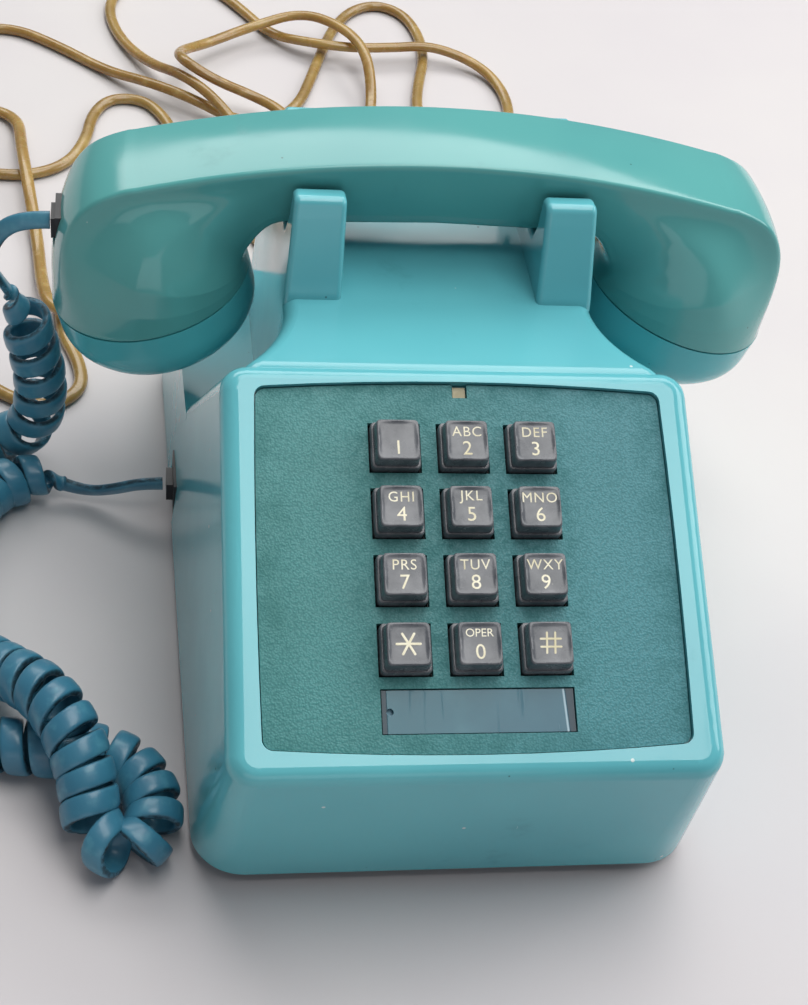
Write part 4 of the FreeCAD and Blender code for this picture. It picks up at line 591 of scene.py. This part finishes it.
def cardWindow(name):
    # scuffed plastic with a blue cast, darker towards the right, with painted shade on a sloping strip at its
    # right end and in a groove at its left end, and a painted highlight line beside the right end's strip
    material, shader, spot = newMaterial(name, {"IOR": 1.35})
    across = spot.along(1, 0, 0)
    haze = spot.noise(40, 4)
    color = mixed(haze.smooth(0.35, 0.7), tint(58, 106, 120), tint(76, 124, 136))
    color = mixed(across.smooth(-0.02, 0.02) * 0.4, color, tint(54, 96, 118))
    mark = speckMask(spot, 130, 0.09, 0.05)
    color = mixed(mark, color, tint(225, 225, 222))
    lean = across + spot.along(0, 0.06, 0)
    ends = lean.smooth(0.0162, 0.0164).most(1 - across.smooth(-0.0226, -0.0224))
    line = lean.smooth(0.0155, 0.0158) * (1 - lean.smooth(0.016, 0.0162))
    # painted shade: the sloping strip at the right end, where the lens bends down, and the groove at the left
    # end are coloured dark
    color = mixed(ends * 0.9, color, tint(16, 44, 58))
    # painted highlight: a pale line just inside the right end's strip
    color = mixed(line * 0.6, color, tint(190, 215, 225))
    scratches = spot.scaled(700, 60, 60).noise(1, 2).smooth(0.62, 0.7)
    height = haze * 0.5 + scratches * 0.05 - ends * 0.6
    return feed(material, shader, color=color, roughness=0.12 + haze * 0.16 + scratches * 0.2,
                normal=height.bump(0.0001, 0.6))


def paperCard(name):
    # matt card with fibres
    material, shader, spot = newMaterial(name)
    fibres = spot.scaled(1, 3, 3).noise(900, 4)
    color = mixed(fibres, tint(120, 160, 180), tint(146, 182, 196))
    return feed(material, shader, color=color, roughness=0.8 + fibres * 0.1, normal=fibres.bump(0.00004, 0.4))


def handsetCordSkin(name):
    # flat cord: grime where turns rub, along both ridges of the band, and faint cross creases
    material, shader, spot = newMaterial(name, {"IOR": 1.5, "Coat Weight": 0.15})
    band = spot.make("ShaderNodeUVMap", {"uv_map": "band"})
    around = band.make("ShaderNodeSeparateXYZ", {}, {0: band}, 1)
    length = band.make("ShaderNodeSeparateXYZ", {}, {0: band}, 0)
    # the band's two edges lie at 0 and a half of the way round
    fold = around * 2
    edge = (fold.maths("FRACT", fold) - 0.5).absolute().smooth(0.3, 0.47)
    dirt = edge * spot.noise(420, 5, 0.7).smooth(0.3, 0.58)
    body = mixed(spot.noise(26, 4).smooth(0.3, 0.7), tint(52, 112, 138), tint(66, 130, 154))
    body = mixed(spot.noise(210, 4).smooth(0.5, 0.75) * 0.5, body, tint(90, 152, 170))
    color = mixed(dirt * 0.85, body, tint(16, 30, 38))
    creases = length.maths("SINE", length * 5200) * 0.5 + 0.5
    roughness = 0.3 + dirt * 0.3 + spot.noise(300, 3) * 0.14
    height = creases * 0.12 + spot.noise(800, 3) * 0.5 - dirt * 0.3
    return feed(material, shader, color=color, roughness=roughness, normal=height.bump(0.00008, 0.5))


def lineCordSkin(name):
    # soft tan plastic, darker in long patches and paler in small ones
    material, shader, spot = newMaterial(name, {"IOR": 1.5, "Coat Weight": 0.3, "Subsurface Weight": 0.08})
    color = mixed(spot.noise(24, 4).smooth(0.3, 0.7), tint(168, 138, 76), tint(132, 104, 52))
    color = mixed(spot.noise(240, 4).smooth(0.5, 0.75) * 0.4, color, tint(188, 164, 106))
    roughness = 0.2 + spot.noise(160, 3) * 0.14
    return feed(material, shader, color=color, roughness=roughness,
                normal=spot.noise(500, 3).bump(0.00006, 0.4))


materials = {
    "housing_gloss": glossyShell("housing_gloss", tint(100, 184, 193), tint(90, 171, 182),
                                 tint(48, 104, 108)),
    "faceplate_grain": faceGrain("faceplate_grain"),
    "card": paperCard("card"),
    "card_window": cardWindow("card_window"),
    "cream_plastic": mouldedPlastic("cream_plastic", tint(186, 178, 146), tint(142, 130, 96)),
    "dark_plastic": mouldedPlastic("dark_plastic", tint(26, 27, 30), tint(46, 46, 50), 0.35),
    "key_plastic": keyPlastic("key_plastic"),
    "steel": wornMetal("steel", tint(176, 178, 180), tint(120, 118, 112)),
    "plated_steel": wornMetal("plated_steel", tint(190, 186, 160), tint(140, 128, 96), 0.34, (1, 6, 1)),
    "board": circuitBoard("board"),
    "black_rubber": mouldedPlastic("black_rubber", tint(22, 22, 23), tint(44, 43, 42), 0.7, 900),
    "gong_brass": wornMetal("gong_brass", tint(206, 172, 92), tint(140, 104, 48), 0.24, (1, 1, 5)),
    "coil_winding": windingWire("coil_winding"),
    "clear_plastic": clearPlastic("clear_plastic"),
    "handset_cord": handsetCordSkin("handset_cord"),
    "line_cord": lineCordSkin("line_cord"),
    "handset_gloss": glossyShell("handset_gloss", tint(88, 162, 160), tint(76, 148, 150),
                                 tint(56, 108, 104)),
    "cap_gloss": glossyShell("cap_gloss", tint(84, 178, 185), tint(72, 165, 175), tint(40, 94, 98)),
    "key_ink": mouldedPlastic("key_ink", keyInk["cream"], tint(206, 198, 164), 0.5),
}


def dress(piece, material):
    piece.data.materials.clear()
    piece.data.materials.append(materials[material])


# each part of the frame names its material, which is made here under the same name
for node in nodes.values():
    for holder in node.material_slots:
        holder.material = materials[holder.material.name.split(".")[0]]
for name in ("transmitter_cap", "receiver_cap"):
    nodes[name].material_slots[0].material = materials["cap_gloss"]
# painted shade: the clear plugs are dressed in dark plastic so that they read as the dark openings of their
# jacks
for name in ("base_handset_plug", "handset_plug"):
    nodes[name].material_slots[0].material = materials["dark_plastic"]
dress(handsetCord, "handset_cord")
dress(lineCordPiece, "line_cord")
print("materials: %d" % len(materials))


# Handset

handset = {
    "top": 132, "arch": 14, "archHalf": 92,  # the top line: its height, its fall, and how far out
    "under": 108.1, "underMiddle": 109, "underFrom": 30,  # the underside, a little higher in the middle
    "middleY": 51,
    "halfTop": 14.8, "halfUnder": 11,  # half widths of the handle's section
    "ridgeRound": 1.4, "underRound": 3.2,
    "bulge": 0.5,  # of the sides
    "crown": 0.9,  # of the top
    "cup": (77.4, 81), "cupRadius": 28.5, "cupTilt": 15,
    "turnPoint": (42, 90.5),  # x and z of the point that the elbow's rings turn round
    "elbowRings": ((-14.9, 34, 62), (34.9, 89, 38)),  # first degree, last degree, rings
    "widths": [(-15, 28.5), (-4, 28.5), (8, 27.6), (22, 24.8), (40, 20.4), (62, 16.8), (90, 14.6)],
    "widen": 3, "widenSpan": (35, 88),  # of the inner side; each span is in degrees round the elbow
    "crownSpan": (-10, 20),
    "outerSpan": (-13, 24), "sideSpan": (8, 84),  # from the cap's circle to the handle's section
    "outerness": (0.15, 0.8),  # cosines on the circle between which the side becomes the outside
    "onCircle": (26, 38, 150, 160),  # degrees on the circle where the parts of a section meet
    "barRings": 22,
    "seamEdge": 0.45,
    "neckRing": 25.6, "neckBore": 24.3, "neckReach": 6, "neckEdge": 0.4,
    "pointsOuter": 9, "pointsCorner": 7, "pointsSide": 26, "pointsInner": 7,
    "jackRoom": ((-106, 45.0, 93.8), (-90.8, 57.0, 104.2)),
    "sharp": 45,
}
# the handset's end seen from the front, from the seam to the top, and the inner elbow the same way
endLine = [(104.88, 73.6), (105.0, 80), (104.9, 91), (103.0, 103), (98.2, 112.2), (91.5, 118.2), (84, 120.55)]
elbowLine = [(49.87, 88.37), (51.0, 92.6), (51.0, 98.2), (48.4, 104.2), (44.0, 107.9), (38, 108.35)]


def bentLine(points, count=400):
    # quadratic spline through the middles of the runs between points, ending at the first and last point
    points = np.array(points, float)
    middles = (points[:-1] + points[1:]) / 2
    corners = points[1:-1]
    starts = np.vstack([points[:1], middles[1:-1]])
    ends = np.vstack([middles[1:-1], points[-1:]])
    t = np.linspace(0, 1, count // len(corners))[None, :, None]
    spans = (1 - t) ** 2 * starts[:, None] + 2 * t * (1 - t) * corners[:, None] + t ** 2 * ends[:, None]
    return spans.reshape(-1, 2)


def archHeight(x):
    # the top line falls with the square of the distance from the middle
    return handset["top"] - handset["arch"] * (x / handset["archHalf"]) ** 2


def reachAt(line, angles):
    # distance from the turning point to a line, looking out at each angle
    turnX, turnZ = handset["turnPoint"]
    seen = np.arctan2(line[:, 1] - turnZ, line[:, 0] - turnX)
    away = np.hypot(line[:, 0] - turnX, line[:, 1] - turnZ)
    order = np.argsort(seen)
    return np.interp(angles, seen[order], away[order])


def sectionShape(outerHalf, innerHalf, half):
    # Half an outline for every ring, from the outer middle round to the inner middle: the two places of
    # each point on a rounded trapezoid, and the angle of the same point on a circle.
    size = handset
    a = np.linspace(0, 1, size["pointsOuter"], endpoint=False)
    b = np.linspace(0, 1, size["pointsCorner"], endpoint=False)
    c = np.linspace(0, 1, size["pointsSide"], endpoint=False)
    e = np.linspace(0, 1, size["pointsInner"])
    outerHalf, innerHalf, half = (np.asarray(v)[:, None] for v in (outerHalf, innerHalf, half))
    ridge, under = size["ridgeRound"], size["underRound"]
    sideLong = np.hypot(2 * half, outerHalf - innerHalf)
    downAlong, downSide = -2 * half / sideLong, (innerHalf - outerHalf) / sideLong
    topAlong = half + 0 * a
    topSide = (outerHalf - ridge) * a
    # a quadratic curve from p to r, drawn towards q
    quad = lambda t, p, q, r: (1 - t) ** 2 * p + 2 * t * (1 - t) * q + t ** 2 * r
    ridgeAlong = quad(b, half, half, half + ridge * downAlong)
    ridgeSide = quad(b, outerHalf - ridge, outerHalf, outerHalf + ridge * downSide)
    wayStart, wayEnd = ridge / sideLong, 1 - under / sideLong
    way = wayStart + (wayEnd - wayStart) * c
    sideAlong = half - 2 * half * way
    sideSide = outerHalf + (innerHalf - outerHalf) * way + size["bulge"] * np.sin(np.pi * way)
    underAlong = quad(b, -half - under * downAlong, -half, -half)
    underSide = quad(b, innerHalf - under * downSide, innerHalf, innerHalf - under)
    innerAlong = -half + 0 * e
    innerSide = (innerHalf - under) * (1 - e)
    crown = size["crown"] * (1 - (topSide / outerHalf) ** 2)
    along = np.hstack([topAlong + crown, ridgeAlong + size["crown"] * (1 - (ridgeSide / outerHalf) ** 2),
                       sideAlong, underAlong, innerAlong])
    sideways = np.hstack([topSide, ridgeSide, sideSide, underSide, innerSide])
    stops = (0, *size["onCircle"], 180)
    turn = np.hstack([low + (high - low) * share
                      for low, high, share in zip(stops[:-1], stops[1:], (a, b, c, b, e))])
    return along, sideways, np.radians(turn)


def handsetRings():
    # Round the elbow each ring lies in a half-plane through the turning point, and along the handle it
    # is upright. A ring is the trapezoid near the handle and the cap's circle at the seam.
    size = handset
    turnX, turnZ = size["turnPoint"]
    tilt = math.radians(size["cupTilt"])
    arch = np.linspace(20, 84, 80)  # out to the end line's last point
    outer = np.vstack([bentLine(endLine), np.stack([arch, archHeight(arch)], -1)])
    inner = bentLine(elbowLine)
    degrees = np.concatenate([np.linspace(*span) for span in size["elbowRings"]])[1:]
    angles = np.radians(degrees)
    reachOuter = reachAt(outer, angles) - size["crown"] * smoothstep(*size["crownSpan"], degrees)
    reachInner = reachAt(inner, angles)
    half, middle = (reachOuter - reachInner) / 2, (reachOuter + reachInner) / 2
    innerHalf = size["halfUnder"] + size["widen"] * (1 - smoothstep(*size["widenSpan"], degrees))
    along, sideways, turn = sectionShape(np.full(len(angles), size["halfTop"]), innerHalf, half)
    wide = np.interp(degrees, *np.transpose(size["widths"]))[:, None]
    roundAlong, roundSide = half[:, None] * np.cos(turn), wide * np.sin(turn)
    shareOuter = 1 - smoothstep(*size["outerSpan"], degrees)
    shareSide = 1 - smoothstep(*size["sideSpan"], degrees)
    outerness = smoothstep(*size["outerness"], np.cos(turn))
    share = shareSide[:, None] + (shareOuter - shareSide)[:, None] * outerness
    along = along + (roundAlong - along) * share + middle[:, None]
    sideways = sideways + (roundSide - sideways) * share
    x = turnX + along * np.cos(angles)[:, None]
    z = turnZ + along * np.sin(angles)[:, None]
    elbow = np.stack([x, sideways, z], -1)
    bars = np.linspace(turnX - 1, 0, size["barRings"])
    top = archHeight(bars) - size["crown"]
    under = np.interp(bars, [0, size["underFrom"]], [size["underMiddle"], size["under"]])
    halfTop, halfUnder = (np.full(len(bars), size[key]) for key in ("halfTop", "halfUnder"))
    barAlong, barSide, turn = sectionShape(halfTop, halfUnder, (top - under) / 2)
    bar = np.stack([np.repeat(bars[:, None], barAlong.shape[1], 1), barSide,
                    barAlong + ((top + under) / 2)[:, None]], -1)
    cupX, cupZ = size["cup"]
    bore, ring, reach, edge = (size[key] for key in ("neckBore", "neckRing", "neckReach", "neckEdge"))
    cup, seam = size["cupRadius"], size["seamEdge"]
    # radius and height above the seam, from inside the neck to the cup's side
    rim = [(bore - 9, 13), (bore, 3), (bore, edge - reach), (bore + edge, -reach), (ring - edge, -reach),
           (ring, edge - reach), (ring, 0), (cup - seam, 0), (cup - 0.13, 0.13), (cup, seam)]
    rims = []
    for radius, rise in rim:
        rims.append(np.stack([cupX + radius * np.cos(turn) * math.cos(tilt) + rise * math.sin(tilt),
                              radius * np.sin(turn),
                              cupZ - radius * np.cos(turn) * math.sin(tilt) + rise * math.cos(tilt)], -1))
    # the left half mirrors the right, and the rear half of each ring mirrors the front
    right = np.vstack([np.array(rims), elbow, bar[:-1]])
    rings = np.vstack([right, bar[-1:], right[::-1] * (-1, 1, 1)])
    rings = np.concatenate([rings, rings[:, -2:0:-1] * (1, -1, 1)], axis=1)
    rings[..., 1] += size["middleY"]
    return rings * mm


def makeHandset():
    # the shell, with the jack's room cut out of its left end
    vertices, faces = loft(handsetRings())[:2]
    body = newPiece("handset_shell", vertices, faces, handset["sharp"])
    low, high = (np.array(end) for end in handset["jackRoom"])
    corners = np.array([(x, y, z) for x in (0, 1) for y in (0, 1) for z in (0, 1)])
    cutter = newPiece("jack_room", (low + corners * (high - low)) * mm,
                      [(0, 1, 3, 2), (4, 6, 7, 5), (0, 4, 5, 1), (2, 3, 7, 6), (0, 2, 6, 4), (1, 5, 7, 3)])
    cut = body.modifiers.new("jack_room", "BOOLEAN")
    cut.operation = "DIFFERENCE"
    cut.solver = "EXACT"
    cut.object = cutter
    bpy.context.view_layer.update()
    shaped = bpy.data.meshes.new_from_object(body.evaluated_get(bpy.context.evaluated_depsgraph_get()))
    body.modifiers.clear()
    body.data = shaped
    bpy.data.objects.remove(cutter)
    shaped.set_sharp_from_angle(angle=math.radians(handset["sharp"]))
    dress(body, "handset_gloss")
    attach(body, "handset")
    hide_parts("handset_body")


makeHandset()
print("handset made")


# Keys

keys = {
    "pitch": 17.5, "names": ["1", "2", "3", "4", "5", "6", "7", "8", "9", "star", "0", "hash"],
    "letters": {"2": "ABC", "3": "DEF", "4": "GHI", "5": "JKL", "6": "MNO", "7": "PRS", "8": "TUV",
                "9": "WXY", "0": "OPER"},
    "skirt": 6.25, "skirtTop": 2.0, "lip": 7.1, "lipHigh": 1, "foot": -11.2,  # half widths and heights
    "capFoot": 5.7, "capTop": 5.3, "capRise": 6.2, "edge": 0.42, "dish": 0.42,
    "bore": 4.5, "boreTop": -2.8, "stem": 2.4, "around": 64,
    "starBar": 0.6, "starHalf": 2.9,
    "hashBar": 0.5, "hashHalf": 2.5, "hashRows": (-0.95, 1.05), "hashColumns": (-1.0, 1.05), "hashLean": 0.15,
    # height, place and spacing of the letters
    "digit": (3.9, -2.0, 1.08), "word": (2.7, 2.4, 1.12), "zeroWord": (2.1, 2.7, 1.0),
    "inkSunk": 0.08, "inkProud": 0.03, "inkHalf": 0.05,
    "capSharp": 40, "inkSharp": 30,
}


def onFace(points):
    # from the face's own frame, x across, y up the slope, z out of it, to the frame in metres
    slope = math.radians(faceFrame["slope"])
    x, y, z = points[..., 0], points[..., 1], points[..., 2]
    middle = faceFrame["middle"]
    return np.stack([x + middle[0], middle[1] + y * math.cos(slope) - z * math.sin(slope),
                     middle[2] + y * math.sin(slope) + z * math.cos(slope)], -1) * mm


def roundedSquare(half, corner, height, count):
    # a square with round corners: for each way round, the ray's length to the sides, softened at corners
    turn = (np.arange(count) + 0.5) * 2 * np.pi / count
    cosine, sine = np.cos(turn), np.sin(turn)
    power = 2 + 16 * (1 - corner / half) ** 2
    reach = half / (np.abs(cosine) ** power + np.abs(sine) ** power) ** (1 / power)
    return np.stack([reach * cosine, reach * sine, np.full(count, height)], -1)


def keyRings():
    # rings from the inside out: the bore round the stem, the lip, the skirt, the cap's slope, edge and bowl
    size = keys
    count = size["around"]
    turn = (np.arange(count) + 0.5) * 2 * np.pi / count
    foot, top, rise, edge = size["foot"], size["skirtTop"], size["capRise"], size["edge"]
    low = foot - size["lipHigh"]
    lip, skirt, capFoot, capTop = size["lip"], size["skirt"], size["capFoot"], size["capTop"]
    rings = []
    for radius, height in ((size["stem"], low), (size["stem"], size["boreTop"]),
                           (size["bore"], size["boreTop"]), (size["bore"], low)):
        rings.append(np.stack([radius * np.cos(turn), radius * np.sin(turn), np.full(count, height)], -1))
    # half width, corner and height of each rounded square
    squares = [(lip, 0.4, low), (lip, 0.4, foot), (skirt, 0.5, foot),
               (skirt, 0.6, top - 0.3), (skirt - 0.1, 0.6, top - 0.08), (skirt - 0.3, 0.6, top),
               (capFoot, 0.8, top), (capFoot - 0.05, 0.8, top + 0.15)]
    squares += [(capFoot + (capTop - capFoot) * share, 0.85, top + (rise - top) * share)
                for share in (0.35, 0.7)]
    squares += [(capTop + 0.06 - edge * (1 - math.cos(angle)), 0.95, rise - edge + edge * math.sin(angle))
                for angle in np.radians((0, 22, 45, 67, 90))]
    rings += [roundedSquare(half, corner, height, count) for half, corner, height in squares]
    for share in (0.93, 0.8, 0.62, 0.42, 0.2):
        ring = roundedSquare((capTop - edge) * share, 0.9, 0, count)
        ring[:, 2] = dishHeight(ring[:, 0], ring[:, 1])
        rings.append(ring)
    return np.array(rings)


def dishHeight(x, y):
    # the key's top is a shallow bowl: it rises with the square of the distance from the middle
    half = keys["capTop"] - keys["edge"]
    return keys["capRise"] - keys["dish"] * (1 - (x ** 2 + y ** 2) / (2 * half ** 2))


def stroke(start, end, width):
    # a bar with round ends: a half circle at each end, as a thin slab on the key's top
    start, end = np.array(start, float), np.array(end, float)
    way = (end - start) / np.linalg.norm(end - start)
    angle = math.atan2(way[1], way[0])
    turn = np.linspace(-np.pi / 2, np.pi / 2, 10)
    tip = np.stack([np.cos(turn + angle), np.sin(turn + angle)], -1) * width / 2
    flat = np.vstack([end + tip, start - tip])
    height = dishHeight(flat[:, 0], flat[:, 1])
    return loft([np.column_stack([flat, height - keys["inkSunk"]]),
                 np.column_stack([flat, height + keys["inkProud"]])])


def lettering(text, tall, y, spacing):
    # letters of this height round the middle, pressed onto the bowl of the key's top
    curve = bpy.data.curves.new("legend", "FONT")
    curve.body, curve.size = text, tall / 0.73  # capitals are 0.73 of the font's size
    curve.align_x, curve.align_y = "CENTER", "CENTER"
    curve.space_character = spacing
    curve.extrude = keys["inkHalf"]  # to each side
    curve.resolution_u = 4
    holder = bpy.data.objects.new("legend", curve)
    mesh = bpy.data.meshes.new_from_object(holder)
    flat = np.zeros(len(mesh.vertices) * 3)
    mesh.vertices.foreach_get("co", flat)
    flat = flat.reshape(-1, 3)
    faces = [list(face.vertices) for face in mesh.polygons]
    bpy.data.objects.remove(holder)
    bpy.data.meshes.remove(mesh)
    flat[:, 0] -= (flat[:, 0].min() + flat[:, 0].max()) / 2
    flat[:, 1] += y - (flat[:, 1].min() + flat[:, 1].max()) / 2
    flat[:, 2] += dishHeight(flat[:, 0], flat[:, 1]) + keys["inkProud"] - keys["inkHalf"]
    return flat, faces


def keyLegend(name):
    # three bars for the star, four for the hash, and letters for the others
    if name == "star":
        half = keys["starHalf"]
        ends = [(half * math.cos(turn), half * math.sin(turn)) for turn in np.radians((0, 60, 120))]
        return joined([stroke((-x, -y), (x, y), keys["starBar"]) for x, y in ends])
    if name == "hash":
        half, lean = keys["hashHalf"], keys["hashLean"]
        bars = [((-half, y), (half, y)) for y in keys["hashRows"]]
        bars += [((x - lean, -half), (x + lean, half + 0.1)) for x in keys["hashColumns"]]
        return joined([stroke(start, end, keys["hashBar"]) for start, end in bars])
    digit = lettering(name, *keys["digit"])
    if name not in keys["letters"]:
        return digit
    return joined([digit, lettering(keys["letters"][name], *keys["zeroWord" if name == "0" else "word"])])


def makeKeys():
    capPoints, capFaces = loft(keyRings())[:2]
    for index, name in enumerate(keys["names"]):
        shift = keys["pitch"] * np.array([index % 3 - 1, 1.5 - index // 3, 0])
        cap = newPiece("cap_" + name, onFace(capPoints + shift), capFaces, keys["capSharp"])
        dress(cap, "key_plastic")
        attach(cap, "key_" + name)
        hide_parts("key_" + name)
        points, faces = keyLegend(name)
        legend = newPiece("legend_" + name, onFace(points + shift), faces, keys["inkSharp"])
        dress(legend, "key_ink")
        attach(legend, "key_" + name)


makeKeys()
print("keys made")


# Floor and light

studio = {
    "floor": 2.4,  # half its width
    "floorTints": (tint(208, 205, 204), tint(200, 196, 199)),
    "floorShine": 0.12,
    "lights": [  # place, aim, size across and up, power, colour
        ((0.2, 0.06, 1.5), (0.0, 0.0, 0.05), (1.3, 0.8), 15, (1.0, 0.99, 0.97)),
        ((0.6, 1.7, 1.95), (0.0, 0.05, 0.08), (4.4, 1.1), 60, (1.0, 0.99, 0.97)),
        ((1.1, 0.1, 0.7), (0, 0.0, 0.05), (0.6, 0.7), 5, (1.0, 0.98, 0.96)),
        ((-0.3, -1.7, 0.5), (0, 0.0, 0.05), (1.5, 0.7), 3, (0.97, 0.98, 1.0)),
    ],
    "sky": (0.86, 0.87, 0.93),
    "skyStrength": 0.2,
}


def makeStudio():
    half = studio["floor"]
    corners = [(-half, -half, 0), (half, -half, 0), (half, half, 0), (-half, half, 0)]
    floor = newPiece("floor", corners, [[0, 1, 2, 3]])
    material, shader, spot = newMaterial("floor", {"Specular IOR Level": studio["floorShine"]})
    color = mixed(spot.noise(3, 4).smooth(0.3, 0.7), *studio["floorTints"])
    feed(material, shader, color=color, roughness=0.6 + spot.noise(40, 3) * 0.1,
         normal=spot.noise(300, 3).bump(0.0001, 0.2))
    floor.data.materials.append(material)
    for index, (place, aim, size, power, color) in enumerate(studio["lights"]):
        lamp = bpy.data.lights.new("light_%d" % index, "AREA")
        lamp.shape, lamp.size, lamp.size_y = "RECTANGLE", size[0], size[1]
        lamp.energy, lamp.color = power, color
        holder = linked("light_%d" % index, lamp)
        holder.location = place
        holder.rotation_mode = "QUATERNION"
        holder.rotation_quaternion = (Vector(aim) - Vector(place)).to_track_quat("-Z", "Y")
    world = bpy.data.worlds.new("studio")
    world.use_nodes = True
    background = world.node_tree.nodes["Background"]
    background.inputs[0].default_value = (*studio["sky"], 1)
    background.inputs[1].default_value = studio["skyStrength"]
    bpy.context.scene.world = world


makeStudio()
print("studio made")
